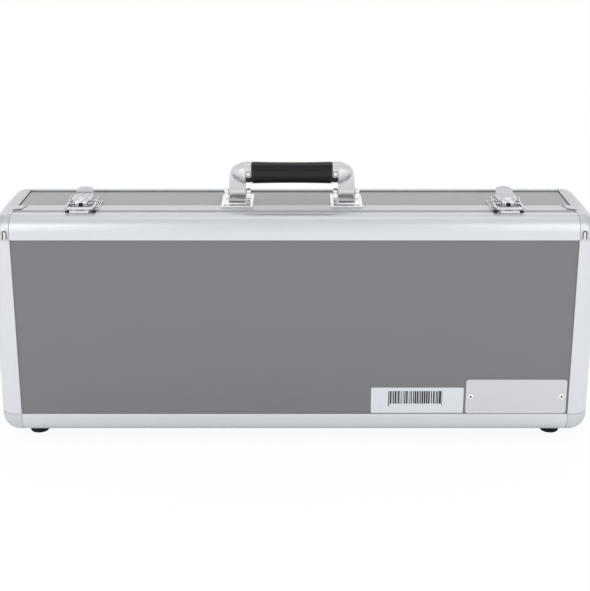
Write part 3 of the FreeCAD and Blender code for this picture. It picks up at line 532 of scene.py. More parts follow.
def bevelled(name, solids, width):
    """Crisp solids in millimetres, with a narrow rounding on their edges."""
    thing = new_object(name, solids, MM)
    rounding = thing.modifiers.new("rounding", "BEVEL")
    rounding.width = width
    rounding.segments = 2
    rounding.limit_method = "ANGLE"
    rounding.angle_limit = math.radians(30)
    settle(thing)
    smooth_shading(thing)
    return thing


def moved(thing, spot):
    """Moves the mesh, so that the object itself stays at the origin."""
    for vertex in thing.data.vertices:
        vertex.co += Vector(spot)
    return thing


def finish_piece(thing, body, material, replaced=()):
    """Sets the piece's material and body, and hides the nodes that it takes the place of."""
    thing.data.materials.clear()
    thing.data.materials.append(material)
    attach(thing, body)
    if replaced:
        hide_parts(*replaced)


def shared(pattern, spots):
    """Copies of the pattern piece, one at each side's spot; the pattern itself is dropped."""
    pieces = {}
    for side, spot in spots.items():
        copy = bpy.data.objects.new("%s_%s" % (pattern.name, side), pattern.data.copy())
        bpy.context.scene.collection.objects.link(copy)
        pieces[side] = moved(copy, spot)
    bpy.data.objects.remove(pattern)
    return pieces


# Handle, in millimetres from the pivot: two cast arms with a round shoulder, ferrules, and a waisted grip
PIVOT = HINGES["handle_fold"]
grip_low, grip_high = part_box("handle_grip")
GRIP_RADIUS = (grip_high.z - grip_low.z) / 2 / MM
GRIP_HALF = (grip_high.x - grip_low.x) / 2 / MM
GRIP_RISE = (grip_high.z - PIVOT.z) / MM - GRIP_RADIUS
ARM_OUTER = (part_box("handle_arm_right")[1].x - PIVOT.x) / MM
ARM_WIDTH = 18.8
ARM_INNER = ARM_OUTER - ARM_WIDTH
ARM_HALF_DEPTH = 5.5
EYE_RADIUS = 6.0
ELBOW = 17.0


def make_grip():
    waist, round_end, flats = 0.7, 1.6, 0.016
    stations = []
    count = 44
    for index in range(count + 1):
        share = 2 * index / count - 1
        x = GRIP_HALF * math.sin(share * math.pi / 2)
        from_end = GRIP_HALF - abs(x)
        radius = GRIP_RADIUS - waist * math.cos(share * math.pi / 2) ** 2
        if from_end < round_end:
            radius -= round_end - math.sqrt(max(0.0, round_end ** 2 - (round_end - from_end) ** 2))
        stations.append((x, radius))
    rings = []
    for x, radius in stations:
        ring = []
        for a in turns(72):
            # Four soft flats, as on a moulding that fits a hand
            near = radius * (1 - flats * (1 - math.cos(4 * a)) / 2)
            ring.append((x, near * math.cos(a), GRIP_RISE + near * math.sin(a)))
        rings.append(ring)
    grip = moved(new_object("grip", [loft(rings)], MM), PIVOT)
    smooth_shading(grip, 50)
    finish_piece(grip, "handle", GRIP, ["handle_grip"])


def make_arm(side, sign):
    """One arm of the handle, with the ferrule between it and the grip."""
    def turned(profile, count, *sector):
        return lathe_x([(sign * x, r) for x, r in profile], (0, GRIP_RISE), count, *sector)

    drop, fall = ELBOW - GRIP_RADIUS, 2.0
    shoulder = [(ARM_INNER - 0.6, GRIP_RADIUS - 0.5), (ARM_INNER, GRIP_RADIUS)]
    for a in turns(14, 0, math.pi / 2):
        radius = ELBOW * math.cos(a) - drop
        if radius > 0.3:
            # Falls off early on top, and stays full towards the outer side
            radius -= fall * math.sin(2 * a) * math.cos(a) ** 3
            shoulder.append((ARM_OUTER - ELBOW + ELBOW * math.sin(a), radius))
    solids = [turned(shoulder, 56)]
    # The top of the shoulder reaches on over the sleeve to the grip
    cap = [
        (GRIP_HALF + 0.2, GRIP_RADIUS - 0.3), (GRIP_HALF + 0.6, GRIP_RADIUS - 0.1),
        (ARM_INNER + 1, GRIP_RADIUS),
    ]
    solids.append(turned(cap, 40, math.radians(14), math.radians(152)))
    stem = [
        (ARM_INNER, 0), (ARM_OUTER, 0), (ARM_OUTER, GRIP_RISE - GRIP_RADIUS),
        (ARM_OUTER - 0.9, GRIP_RISE), (ARM_INNER, GRIP_RISE),
    ]
    solids.append(loft([[(sign * x, y, z) for x, z in stem] for y in (-ARM_HALF_DEPTH, ARM_HALF_DEPTH)]))
    # The eye for the pivot's pin
    solids.append(lathe_x([(sign * ARM_INNER, EYE_RADIUS), (sign * ARM_OUTER, EYE_RADIUS)], (0, 0), 40))
    arm = moved(cast("arm_" + side, solids, grain=0.5 * MM, softness=5), PIVOT)
    finish_piece(arm, "handle", CAST, ["handle_arm_" + side])

    sleeve = [
        (GRIP_HALF - 0.3, 10.7), (GRIP_HALF + 0.9, 10.9), (GRIP_HALF + 1.2, 11.4),
        (ARM_INNER - 1.3, 11.5), (ARM_INNER - 1.2, 10.4), (ARM_INNER + 1.5, 10.4),
    ]
    ferrule = new_object("ferrule_" + side, [turned(sleeve, 60)], MM)
    smooth_shading(moved(ferrule, PIVOT))
    finish_piece(ferrule, "handle", STEEL)
    # Painted shade: a dark sheet over the ferrule's underside, standing in for its shade and dark reflection
    shade_profile = [
        (GRIP_HALF - 0.5, 10.95), (GRIP_HALF + 0.8, 10.95), (GRIP_HALF + 1.0, 11.5),
        (ARM_INNER - 1.0, 11.58), (ARM_INNER - 0.9, 10.6), (ARM_INNER + 1.2, 10.6),
    ]
    shade_sheet = new_object(
        "ferrule_seal_" + side, [turned(shade_profile, 30, math.radians(-160), math.radians(140))], MM
    )
    smooth_shading(moved(shade_sheet, PIVOT))
    finish_piece(shade_sheet, "handle", PAINTED_SHADE)

    screw_x = sign * (GRIP_HALF + ARM_INNER) / 2
    head = [(-0.2, 1.7), (0.5, 1.7), (0.9, 1.2), (1.0, 0.1)]
    solids = []
    for facing in (-1, 1):
        seat = facing * (GRIP_RADIUS - 0.9)
        solids.append(loft([
            [(screw_x + r * math.cos(a), seat + facing * y, GRIP_RISE + r * math.sin(a)) for a in turns(20)]
            for y, r in head
        ]))
    screw = new_object("grip_screws_" + side, solids, MM)
    smooth_shading(moved(screw, PIVOT), 50)
    finish_piece(screw, "handle", CHROME)


make_grip()
for side, sign in SIDES.items():
    make_arm(side, sign)


# Handle brackets, in millimetres from the top of the case under the pivot
PIVOT_RISE = (PIVOT.z - TOP) / MM
RIM_END = (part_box("base_rim_top")[1].y - PIVOT.y) / MM
STEP_DOWN = (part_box("base_top_panel")[1].z - TOP) / MM
EAR_INNER = ARM_WIDTH / 2 + 0.6
EAR_THICKNESS = 5.2
FLANGE = 2.0
DOME_TOP = 5.0


def make_brackets():
    """A flange and a domed block, with a pocket for the arm between two ears; the same on both sides."""
    dome_half, dome_flat = 20, 14.5
    dome = [(-dome_half, 1.5), (dome_half, 1.5), (dome_flat, DOME_TOP), (-dome_flat, DOME_TOP)]
    behind_rim = [(-17.8, RIM_END), (17.8, RIM_END), (17.8, 29.8), (-17.8, 29.8)]
    solids = [
        upright(rounded_outline(18, 30, 2.2), 0.05, FLANGE),
        upright(behind_rim, STEP_DOWN + 0.05, 0.5),
        prism(dome, -15, 15),
    ]
    for sign in (-1, 1):
        inner, outer = sign * EAR_INNER, sign * (EAR_INNER + EAR_THICKNESS)
        edge = 0.7 * sign
        barrel = [(inner, 3.3), (inner + edge, 4.0), (outer - edge, 4.0), (outer, 3.3)]
        solids.append(lathe_x(barrel, (0, PIVOT_RISE), 40))
        web = [(-8, 1.5), (8, 1.5), (4.6, 5.5), (3.2, PIVOT_RISE), (-3.2, PIVOT_RISE), (-4.6, 5.5)]
        solids.append(prism(web, inner, outer))

    # The pocket for the arm reaches on in front of the pivot; its floor is a darker metal, painted shade for
    # the pocket's hollow
    pocket_middle = (0, -1.7)
    cuts = [upright(rounded_outline(9.4, 15.7, 1.5, pocket_middle), 2.3, 30)]
    pattern = cast("bracket", solids, cuts, grain=0.45 * MM, softness=3)
    spots = {}
    for side in SIDES:
        low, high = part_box("handle_bracket_" + side)
        spots[side] = ((low.x + high.x) / 2, PIVOT.y, TOP)
    for side, piece in shared(pattern, spots).items():
        finish_piece(piece, "base", BRACKET_LIT_CHROME, ["handle_bracket_" + side])
    floor = upright(rounded_outline(9.2, 15.5, 1.2, pocket_middle), 1.9, 2.6)
    for piece in shared(bevelled("bracket_pocket_shade", [floor], 0.1 * MM), spots).values():
        finish_piece(piece, "base", POCKET_SHADE_METAL)


make_brackets()


# Latches, in millimetres from the lever's pivot: base, lever, bail, lock plug, and the catch on the lid
LEVER_PIVOT = {side: HINGES["lever_%s_lift" % side] for side in SIDES}
DECK = (TOP - LEVER_PIVOT["left"].z) / MM
NOSE = 4.8
BODY_END = 23.4
TAB_END = 38.4
TAB_TOP = 10.8
LOCK_BACK = (HINGES["lock_left_turn"].y - LEVER_PIVOT["left"].y) / MM
BAIL = Vector((0, 7.0, -1.8))
LATCH_START = (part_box("latch_base_left")[0].y - LEVER_PIVOT["left"].y) / MM
LATCH_END = (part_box("latch_base_left")[1].y - LEVER_PIVOT["left"].y) / MM
RIM_BACK = (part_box("base_rim_top")[1].y - LEVER_PIVOT["left"].y) / MM
EDGE_BACK = (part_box("lid_edge_top")[1].y - LEVER_PIVOT["left"].y) / MM
LEVER_HALF = 11.2
SLOT_LINE = [(-8.0, 11.1), (-7.0, 10.1), (0, 9.7), (7.0, 10.1), (8.0, 11.1)]
DIMPLES = [((number - 3) * 2.5, 16.6) for number in range(7)]


def make_latch_base():
    """The plate under the lever, with ears for its pin and a cheek on each side."""
    middle = (LATCH_START + LATCH_END) / 2
    plate = rounded_outline(19, (LATCH_END - LATCH_START) / 2, 4.5, (0, middle))
    back = [(-18.8, RIM_BACK), (18.8, RIM_BACK), (18.8, LATCH_END - 0.2), (-18.8, LATCH_END - 0.2)]
    solids = [
        upright(plate, DECK + 0.05, DECK + 1.5),
        upright(back, DECK + STEP_DOWN + 0.05, DECK + 0.5),
    ]
    ear = [(-3, 0), (-3, DECK + 1), (6, DECK + 1), (3, 0)]
    ear += [(3 * math.cos(a), 3 * math.sin(a)) for a in turns(12, 0, math.pi)[1:]]
    cheek = [(15.2, DECK + 1), (31, DECK + 1), (29.8, -1.5), (26.5, 1.8), (23, 2.6)]
    cheek += [(18.5, 2.6), (16.2, 1.6), (15.2, -0.5)]
    for sign in (-1, 1):
        solids.append(prism(ear, sign * 7.9, sign * 9.5))
        solids.append(prism(cheek, sign * 14.9, sign * 16.5))
    # A pressed rib runs across behind the lever
    rib = DECK + 1.5
    solids.append(sweep([(-12, 33, rib), (0, 33, rib), (12, 33, rib)], 1.1, 0.8))
    pattern = cast("latch_plate", solids, grain=0.4 * MM, softness=3)
    for side, piece in shared(pattern, LEVER_PIVOT).items():
        finish_piece(piece, "base", LATCH_SHADED_CHROME, ["latch_base_" + side])
    # Painted shade: two dark patches on the plate, one behind the other, standing in for the shade under the
    # lever
    low, high = DECK + 1.3, DECK + 1.62
    shade_patches = [
        upright(rounded_outline(18.1, 8.3, 2, (0, 23.4)), low, high),
        upright(rounded_outline(13.6, 8.8, 2, (0, 6.2)), low, high),
    ]
    for piece in shared(bevelled("latch_shade_patch", shade_patches, 0.08 * MM), LEVER_PIVOT).values():
        finish_piece(piece, "base", PAINTED_SHADE)


def front_corners():
    """Two cutters that round the lever's front corners, seen from above."""
    clear, flat, start, depth = 20, 3.6, 6, 11.2
    reach = LEVER_HALF + 0.1
    cutters = []
    for sign in (-1, 1):
        outline = [(sign * clear, start), (sign * reach, start)]
        for a in turns(10, 0, math.pi / 2):
            outline.append((sign * (flat + (reach - flat) * math.cos(a)), start - depth * math.sin(a)))
        outline += [(sign * flat, start - depth), (sign * flat, -12), (sign * clear, -12)]
        cutters.append(upright(outline, -clear, clear))
    return cutters


def lever_top(y):
    """The height of the lever's cover, which rounds down at the nose."""
    return NOSE if y >= 0 else math.sqrt(NOSE ** 2 - y ** 2)


def make_lever():
    side_view = [(-NOSE * math.sin(a), NOSE * math.cos(a)) for a in turns(14, 0, math.pi)]
    side_view += [(0, -NOSE), (BODY_END - 4.4, -3.7), (BODY_END, 0), (BODY_END, NOSE)]
    # The tab rises behind the body, and its end is rounded seen from above
    rings = []
    tab_start, tab_steps = BODY_END - 5, 24
    thick, round_end, end_half, round_half = 1.5, 8, 3.0, 6.7
    for index in range(tab_steps + 1):
        share = index / tab_steps
        y = tab_start + (TAB_END - tab_start) * share
        rise = NOSE - thick + (TAB_TOP - NOSE) * max(0.0, share * 1.18 - 0.18) ** 0.9
        from_end = min(1.0, (TAB_END - y) / round_end)
        half = end_half + round_half * math.sqrt(max(0.0, 1 - (1 - from_end) ** 2))
        rings.append([(-half, y, rise), (half, y, rise), (half, y, rise + thick), (-half, y, rise + thick)])
    solids = [prism(side_view, -LEVER_HALF, LEVER_HALF), loft(rings)]
    # The bail's pins, with domed heads
    for sign in (-1, 1):
        head = [(10.2, 1.5), (16.3, 1.5), (16.3, 2.5), (16.9, 2.3), (17.3, 1.4), (17.4, 0.2)]
        solids.append(lathe_x([(sign * x, r) for x, r in head], (BAIL.y, BAIL.z), 24))
    # A raised rim runs round the pocket like a U, and a step lies behind the slot
    rim = [(8.0, 8.6), (8.0, 5.2)]
    rim += [(8.0 * math.cos(a), 2.2 - 5.4 * math.sin(a)) for a in turns(16, 0, math.pi)]
    rim += [(-8.0, 2.2), (-8.0, 5.2), (-8.0, 8.6)]
    solids.append(sweep([(x, y, lever_top(y)) for x, y in rim], 0.75, 0.75, 12))
    solids.append(sweep([(-9.0, 12.7, NOSE), (0, 12.7, NOSE), (9.0, 12.7, NOSE)], 0.9, 0.75))
    inside, below, front, beside = BODY_END - 1.4, -12, -12, 13.5
    cuts = [
        *front_corners(),
        # Hollow inside, open below, with the ears of the base at its sides
        block((-7.4, -3.3, below), (7.4, inside, NOSE - 2.2)),
        block((-9.9, -3.3, below), (-7.3, inside, NOSE - 1.5)),
        block((7.3, -3.3, below), (9.9, inside, NOSE - 1.5)),
        block((-beside, front, below), (-7.6, -0.5, NOSE - 2.6)),
        block((7.6, front, below), (beside, -0.5, NOSE - 2.6)),
        # Mouth in the nose, and the underside cut level
        block((-2.4, -8, -2.8), (2.4, -2, 1.6)),
        block((-beside, front, below), (beside, 3, -3.4)),
        # Pocket in the top, and the slot behind it
        upright(rounded_outline(6.9, 5.6, 4.5, (0, 3.2)), NOSE - 0.9, 20),
        sweep([(x, y, NOSE) for x, y in SLOT_LINE], 0.75, 1.1),
    ]
    for spot in DIMPLES:
        cuts.append(lathe_z([(NOSE - 0.5, 0.5), (NOSE + 0.1, 0.85), (NOSE + 3, 0.85)], spot, 16))
    pattern = cast("lever", solids, cuts, grain=0.3 * MM, softness=3)
    for side, piece in shared(pattern, LEVER_PIVOT).items():
        finish_piece(piece, "lever_" + side, LATCH_SHADED_CHROME, ["latch_lever_" + side])

    collar = [tube(3.4, 4.4, NOSE - 1.2, NOSE + 0.5, (0, LOCK_BACK))]
    for side, piece in shared(bevelled("lock_collar", collar, 0.22 * MM), LEVER_PIVOT).items():
        finish_piece(piece, "lever_" + side, CHROME)

    # Painted shade: dark pieces in the ring round the lock, on the slot's floor, in the mouth and in the
    # dimples
    shadows = [tube(2.95, 3.45, NOSE - 1.2, NOSE + 0.1, (0, LOCK_BACK))]
    shadows.append(sweep([(x * 0.97, y, NOSE - 0.95) for x, y in SLOT_LINE], 0.6, 0.3))
    shadows.append(block((-2.9, -3.0, -3.1), (2.9, -2.6, 2.2)))
    for spot in DIMPLES:
        shadows.append(lathe_z([(NOSE - 0.75, 0.7), (NOSE - 0.28, 0.7)], spot, 16))
    for side, piece in shared(bevelled("lever_painted_shade", shadows, 0.04 * MM), LEVER_PIVOT).items():
        finish_piece(piece, "lever_" + side, PAINTED_SHADE)


def make_bail():
    """The wire loop that hooks over the catch, from one arm round the bar to the other."""
    bar_y, bar_z = -18.9, -0.9
    bend, arm_x = 4.0, 14.9
    path = [(arm_x, BAIL.y, BAIL.z), (arm_x, 0, BAIL.z + 0.2), (arm_x, bar_y + bend + 3, bar_z - 0.1)]
    for a in turns(6, 0, -math.pi / 2)[1:] + [-math.pi / 2]:
        path.append((arm_x - bend + bend * math.cos(a), bar_y + bend + bend * math.sin(a), bar_z))
    path += [(6, bar_y, bar_z), (0, bar_y, bar_z)]
    whole = path + [(-x, y, z) for x, y, z in reversed(path[:-1])]
    solids = [sweep(whole, 1.5, 1.65)]
    for sign in (-1, 1):
        eye = [(sign * 13.4, 2.1), (sign * 13.9, 2.6), (sign * 15.9, 2.6), (sign * 16.4, 2.1)]
        solids.append(lathe_x(eye, (BAIL.y, BAIL.z), 32))
    pattern = cast("bail", solids, grain=0.35 * MM, softness=3)
    for side, piece in shared(pattern, LEVER_PIVOT).items():
        finish_piece(piece, "bail_" + side, LATCH_SHADED_CHROME, ["latch_bail_" + side])


def make_catch():
    """The plate on the lid, with the lip that the bail's bar hooks over."""
    start, end = -20.6, -6.6
    step = DECK + STEP_DOWN + 0.05
    behind = [(-10.8, EDGE_BACK + 0.1), (10.8, EDGE_BACK + 0.1), (10.8, end - 0.1), (-10.8, end - 0.1)]
    radius, lip_top = 1.05, DECK + 2.5
    lip = [(start, DECK + 0.2), (start + 2 * radius, DECK + 0.2), (start + 2 * radius, lip_top)]
    for a in turns(8, 0, math.pi)[1:]:
        lip.append((start + radius + radius * math.cos(a), lip_top + radius * math.sin(a)))
    lip.append((start, lip_top))
    plate = rounded_outline(11, (end - start) / 2, 1.6, (0, (start + end) / 2))
    solids = [
        upright(plate, DECK + 0.05, DECK + 1.4),
        upright(behind, step, DECK + 0.5),
        prism(lip, -10.6, 10.6),
    ]
    for sign in (-1, 1):
        head = [(DECK + 1.2, 2.3), (DECK + 1.8, 2.2), (DECK + 2.3, 1.4), (DECK + 2.4, 0.1)]
        solids.append(lathe_z(head, (sign * 7.2, -11.6), 28))
    pattern = cast("catch", solids, grain=0.35 * MM, softness=3)
    for piece in shared(pattern, LEVER_PIVOT).values():
        finish_piece(piece, "lid", LATCH_SHADED_CHROME, ["latch_catches"])
    # Painted shade: black pads beside the plate, where the arms of the bail come down, standing in for the
    # shadow in the split under them
    outlines = [rounded_outline(2.3, 2.3, 0.8, (sign * 14.6, -9.4)) for sign in (-1, 1)]
    shade_pads = [upright(outline, step, DECK + 0.3) for outline in outlines]
    for piece in shared(bevelled("bail_shade_pads", shade_pads, 0.3 * MM), LEVER_PIVOT).values():
        finish_piece(piece, "lid", RUBBER)


def make_key_slots():
    """The shadow in each plug's key slot."""
    depth = 2.0 * MM
    for side in SIDES:
        low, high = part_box("lock_plug_" + side)
        slot = bevelled("key_slot_" + side, [block((-0.4, -1.7, -0.3), (0.4, 1.7, 1.4))], 0.05 * MM)
        moved(slot, ((low.x + high.x) / 2, (low.y + high.y) / 2, high.z - depth))
        finish_piece(slot, "plug_" + side, PAINTED_SHADE)


make_latch_base()
make_lever()
make_bail()
make_catch()
make_key_slots()


# Oval rivets through the upper corners of the lid: a bright rim, a groove with painted shade in it, and a
# bright middle
def make_corner_rivets():
    radius, straight, count = 3.2, 3.2, 36
    profile = [
        (radius, -0.2), (radius, 0.55), (3.05, 0.8), (2.85, 0.9), (2.65, 0.8),
        (2.5, 0.3), (1.7, 0.25), (1.5, 0.9), (0.7, 1.25),
    ]
    groove = (4, 5)  # Bands of the profile
    low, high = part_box("lid_rivets")
    place_x, place_z = high.x - radius * MM, (low.z + high.z) / 2
    angles = turns(count, math.pi / count)
    solids, dark = [], []
    for sign in SIDES.values():
        rings = []
        for inset, rise in profile:
            ring = []
            for a in angles:
                across, up = inset * math.cos(a), inset * math.sin(a) + math.copysign(straight, math.sin(a))
                ring.append((sign * place_x + across * MM, FRONT - rise * MM, place_z + up * MM))
            rings.append(ring)
        first = sum(len(faces) for _, faces in solids)
        solids.append(loft(rings))
        # Painted shade: the groove's faces take the dark material, except at its lower end
        shaded = [index for index, a in enumerate(angles) if math.sin(a) > -0.4]
        dark += [first + band * count + index for band in groove for index in shaded]
    rivets = new_object("oval_rivets", solids)
    finish_piece(rivets, "lid", CAST, ["lid_rivets"])
    rivets.data.materials.append(PAINTED_SHADE)
    for index in dark:
        rivets.data.polygons[index].material_index = 1
    smooth_shading(rivets, 60)


make_corner_rivets()


def make_drive_shades():
    """Painted shade: a dark hexagon on each of the nameplate's two screws, for the shade in its drive."""
    low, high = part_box("nameplate_screws")
    head_radius, face, middle = (high.z - low.z) / 2, low.y, (low.z + high.z) / 2
    radius = 0.42 * head_radius
    depths = (face + 0.3 * MM, face - 0.05 * MM)
    sockets = []
    for centre in (low.x + head_radius, high.x - head_radius):
        outline = [(centre + radius * math.cos(a), middle + radius * math.sin(a)) for a in turns(6)]
        sockets.append(loft([[(x, y, z) for x, z in outline] for y in depths]))
    piece = new_object("screw_drive_shades", sockets)
    smooth_shading(piece)
    finish_piece(piece, "lid", PAINTED_SHADE)


make_drive_shades()


# Sticker beside the nameplate: paper, and a generic row of bars
def make_sticker():
    left, right, low, high = 0.0880, 0.1943, 0.0416, 0.0730
    paper_face = PANEL_FACE - 0.12 * MM
    middle = ((left + right) / 2, (low + high) / 2)
    outline = rounded_outline((right - left) / 2, (high - low) / 2, 1.2 * MM, middle)
    paper = new_object("sticker", [loft([[(x, y, z) for x, z in outline] for y in (PANEL_FACE, paper_face)])])
    finish_piece(paper, "lid", PAPER)
    pick = random.Random(7)
    start, end = 0.1078, 0.1706
    guard_foot, bar_foot, bar_top = 0.0501, 0.0532, 0.0688
    module = 0.62 * MM
    bars = []
    x = start
    while x < end - module:
        width = module * pick.choice((1, 2, 2, 3, 3, 4))
        guard = x < start + 2.5 * module or x > end - 5 * module or abs(x - (start + end) / 2) < 1.6 * module
        foot = guard_foot if guard else bar_foot
        bars.append(block((x, paper_face - 0.02 * MM, foot), (min(x + width, end), paper_face, bar_top)))
        x += width + module * pick.choice((1, 1, 1, 2))
    ink = new_object("sticker_bars", bars)
    finish_piece(ink, "lid", INK)


make_sticker()


# Painted shade: dark strips in the joints round the top panel, standing in for the shadow in them
def make_joint_shade():
    start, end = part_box("base_side_edge_top_left")[0].y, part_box("base_side_edge_top_left")[1].y
    panel_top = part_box("base_top_panel")[1].z
    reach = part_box("base_side_edge_top_right")[0].x - 0.3 * MM
    shade_strips = []
    for sign in SIDES.values():
        line = [(sign * reach, y, panel_top) for y in (start, 0, end)]
        shade_strips.append(sweep(line, 0.33 * MM, 0.35 * MM, 10))
    line = [(x, end - 0.6 * MM, panel_top) for x in (-reach, 0, reach)]
    shade_strips.append(sweep(line, 0.55 * MM, 0.2 * MM, 10))
    # Painted shade under the lips where the rim's corner pieces lap over its ends, and in the notch beside
    # each, in millimetres
    joint = [(304.6, -21.5), (305.6, -28), (307.5, -33), (311, -37), (316, -39.3)]
    notch = [(306.5, -40.3), (312, -39.9), (317.5, -40.3)]
    for sign in SIDES.values():
        for points, half_width, half_height in ((joint, 0.6, 0.35), (notch, 1.1, 0.45)):
            line = [(sign * x * MM, y * MM, TOP - 0.1 * MM) for x, y in points]
            shade_strips.append(sweep(line, half_width * MM, half_height * MM, 8))
    piece = new_object("panel_joint_shade", shade_strips)
    smooth_shading(piece, 60)
    finish_piece(piece, "base", PAINTED_SHADE)


make_joint_shade()


# Foam: closed blocks whose open face is a field of soft peaks
def foam_block(name, low, high, axis, outward, peak, period, body, replaced):
    """The face on the given axis, on its outward side, is moulded; the peaks stay inside the block."""
    across = [index for index in range(3) if index != axis]
    spans = [high[index] - low[index] for index in across]
    fewest, steps_a_period = 6, 8
    rows, columns = [max(fewest, round(span / period * steps_a_period)) for span in spans]
    edge, edge_round = 4 * MM, 1.5 * MM
    crumb_height, crumb_scale = 0.25 * MM, 90
    surface, back = [], []
    for row in range(rows + 1):
        for column in range(columns + 1):
            u, v = spans[0] * row / rows, spans[1] * column / columns
            wave = (math.sin(2 * math.pi * u / period) * math.sin(2 * math.pi * v / period) + 1) / 2
            fade = min(1.0, min(u, v, spans[0] - u, spans[1] - v) / edge)
            crumb = crumb_height * noise.noise(Vector((u, v, 0)) * crumb_scale)
            fall = max(0.0, peak * (1 - wave) * fade + edge_round * (1 - fade) ** 2 + crumb)
            point = [0.0, 0.0, 0.0]
            point[across[0]] = low[across[0]] + u
            point[across[1]] = low[across[1]] + v
            point[axis] = high[axis] - fall if outward > 0 else low[axis] + fall
            surface.append(tuple(point))
            point[axis] = low[axis] if outward > 0 else high[axis]
            back.append(tuple(point))
    width, total = columns + 1, len(surface)
    faces = []
    for row in range(rows):
        for column in range(columns):
            a = row * width + column
            faces.append((a, a + 1, a + width + 1, a + width))
            faces.append(tuple(total + index for index in (a + width, a + width + 1, a + 1, a)))
    rim = list(range(width))
    rim += [row * width + columns for row in range(1, rows + 1)]
    rim += [rows * width + column for column in reversed(range(columns))]
    rim += [row * width for row in reversed(range(1, rows))]
    for here, beside in zip(rim, rim[1:] + rim[:1]):
        faces.append((here, beside, total + beside, total + here))
    foam = new_object(name, [(surface + back, faces)])
    smooth_shading(foam, 60)
    finish_piece(foam, body, FOAM, replaced)


def make_foams():
    x_axis, y_axis, z_axis = range(3)
    low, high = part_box("lid_foam")
    peak, period = 12 * MM, 26 * MM
    foam_block("lid_egg_foam", low, high, y_axis, 1, peak, period, "lid", ["lid_foam"])
    back_low, back_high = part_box("base_foam_back")
    peak, period = 4 * MM, 20 * MM
    foam_block("back_egg_foam", back_low, back_high, y_axis, -1, peak, period, "base", ["base_foam_back"])
    low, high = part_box("base_foam_walls")
    thick = 10 * MM
    walls = {
        "top": ((back_low.x, low.y, high.z - thick), (back_high.x, high.y, high.z), z_axis, -1),
        "bottom": ((back_low.x, low.y, low.z), (back_high.x, high.y, low.z + thick), z_axis, 1),
        "left": ((low.x, low.y, back_low.z), (low.x + thick, high.y, back_high.z), x_axis, 1),
        "right": ((high.x - thick, low.y, back_low.z), (high.x, high.y, back_high.z), x_axis, -1),
    }
    peak, period = 3 * MM, 18 * MM
    for side, (corner, opposite, axis, outward) in walls.items():
        name = "wall_foam_" + side
        foam_block(name, corner, opposite, axis, outward, peak, period, "base", ["base_foam_walls"])


make_foams()


# Camera at the photograph's viewing angle, for a picture of 590 by 591 pixels
PHOTO_LONG_SIDE = 591
FOCAL_PIXELS = 1287
SENSOR = 36.0
PITCH = math.radians(18.3)
CAMERA_PLACE = (0.0005, -1.4458, 0.6373)
camera_data = bpy.data.cameras.new("camera")
camera_data.sensor_width = SENSOR
camera_data.lens = SENSOR * FOCAL_PIXELS / PHOTO_LONG_SIDE
camera = bpy.data.objects.new("camera", camera_data)
camera.location = CAMERA_PLACE
camera.rotation_euler = (math.pi / 2 - PITCH, 0, 0)
bpy.context.scene.collection.objects.link(camera)
bpy.context.scene.camera = camera


# White studio: a pale floor that shows white but keeps a soft shadow, a bright room and soft lamps
CAMERA_RAYS = ("Is Camera Ray",)
MIRROR_RAYS = ("Is Glossy Ray", "Is Transmission Ray")


def any_of(tree, kinds):
    """1 where a ray is of one of the kinds, else 0."""
    path = tree.nodes.new("ShaderNodeLightPath")
    total = path.outputs[kinds[0]]
    for kind in kinds[1:]:
        total = calculated(tree, "MAXIMUM", total, path.outputs[kind])
    return total


def make_floor():
    """A matt floor that glows a little in reflections, and almost white to the camera."""
    reach, grey = 6.0, 0.80
    glow_share, camera_share = 0.25, 0.69
    corners = [(-reach, -reach, 0), (reach, -reach, 0), (reach, reach, 0), (-reach, reach, 0)]
    floor = new_object("floor", [(corners, [(0, 1, 2, 3)])])
    material = bpy.data.materials.new("studio_floor")
    material.use_nodes = True
    tree = material.node_tree
    tree.nodes.clear()
    matt = tree.nodes.new("ShaderNodeBsdfDiffuse")
    matt.inputs["Color"].default_value = (grey, grey, grey, 1)
    glow = tree.nodes.new("ShaderNodeEmission")
    glow.inputs["Color"].default_value = (1, 1, 1, 1)
    extra = calculated(tree, "MULTIPLY", any_of(tree, CAMERA_RAYS), camera_share)
    share = calculated(tree, "MULTIPLY_ADD", any_of(tree, CAMERA_RAYS + MIRROR_RAYS), glow_share, extra)
    mix = tree.nodes.new("ShaderNodeMixShader")
    output = tree.nodes.new("ShaderNodeOutputMaterial")
    for source, socket in zip((share, matt.outputs[0], glow.outputs[0]), mix.inputs):
        tree.links.new(source, socket)
    tree.links.new(mix.outputs[0], output.inputs["Surface"])
    floor.data.materials.append(material)


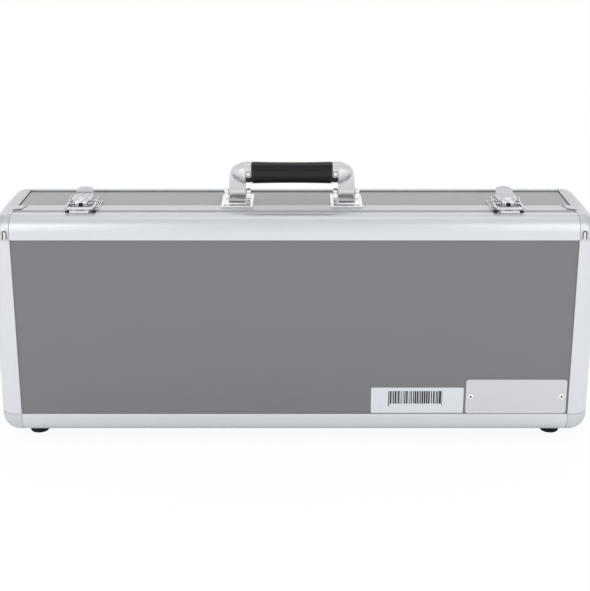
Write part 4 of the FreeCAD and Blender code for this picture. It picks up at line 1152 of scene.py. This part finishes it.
def make_world():
    """Light that comes mostly from overhead, a white room in reflections, and plain white to the camera."""
    world = bpy.data.worlds.new("studio")
    bpy.context.scene.world = world
    world.use_nodes = True
    tree = world.node_tree
    background = tree.nodes["Background"]
    background.inputs["Color"].default_value = (1, 1, 1, 1)
    direction = tree.nodes.new("ShaderNodeTexCoord")
    split = tree.nodes.new("ShaderNodeSeparateXYZ")
    tree.links.new(direction.outputs["Generated"], split.inputs[0])

    def by_height(source, target):
        """Maps the height of the direction, 0 at the horizon and 1 overhead."""
        return map_range(tree, split.outputs["Z"], source, target)

    def chosen(kinds, other):
        """A mix node that gives its second number to rays of these kinds, and the first to the others."""
        mix = tree.nodes.new("ShaderNodeMix")
        tree.links.new(any_of(tree, kinds), mix.inputs["Factor"])
        tree.links.new(other, mix.inputs[NUMBER_A])
        return mix

    # Dark joints between the bright panels of the room, clear of the horizon
    panels_across, joint_edges, joints_begin, joints_dark = 2.6, (0.03, 0.08), (0.28, 0.45), 0.6
    panels = tree.nodes.new("ShaderNodeTexVoronoi")
    panels.feature = "DISTANCE_TO_EDGE"
    panels.inputs["Scale"].default_value = panels_across
    tree.links.new(direction.outputs["Generated"], panels.inputs["Vector"])
    joint = map_range(tree, panels.outputs["Distance"], joint_edges, (1.0, 0.0))
    dark = calculated(tree, "MULTIPLY", joint, by_height(joints_begin, (0.0, joints_dark)))
    clear = calculated(tree, "SUBTRACT", 1.0, dark)

    horizon_light, overhead_light = 0.66, 1.52
    light = by_height((0.0, 1.0), (horizon_light, overhead_light))
    ceiling = by_height((0.3, 0.95), (1.0, 0.90))
    room = calculated(tree, "MULTIPLY", ceiling, clear)
    reflected = chosen(MIRROR_RAYS, light)
    tree.links.new(room, reflected.inputs[NUMBER_B])
    seen = chosen(CAMERA_RAYS, reflected.outputs[NUMBER_RESULT])
    seen.inputs[NUMBER_B].default_value = 1.0
    tree.links.new(seen.outputs[NUMBER_RESULT], background.inputs["Strength"])


def softbox(name, place, aim, size, power):
    """A rectangular lamp: place, aim and size in metres, power in watts."""
    lamp = bpy.data.lights.new(name, "AREA")
    lamp.shape = "RECTANGLE"
    lamp.size, lamp.size_y = size
    lamp.energy = power
    thing = bpy.data.objects.new(name, lamp)
    thing.location = place
    thing.rotation_euler = (Vector(aim) - Vector(place)).to_track_quat("-Z", "Y").to_euler()
    bpy.context.scene.collection.objects.link(thing)


make_floor()
make_world()
for side, sign in SIDES.items():
    place, aim = (sign * 0.9, -1.25, 1.32), (sign * 0.2, 0, 0.2)
    softbox("softbox_" + side, place, aim, size=(0.7, 1.3), power=3.1)
softbox("overhead_strip", (0, 0.36, 1.6), (0, 0, 0.3), size=(1.3, 0.22), power=0.65)

bpy.context.scene.view_settings.view_transform = "Standard"
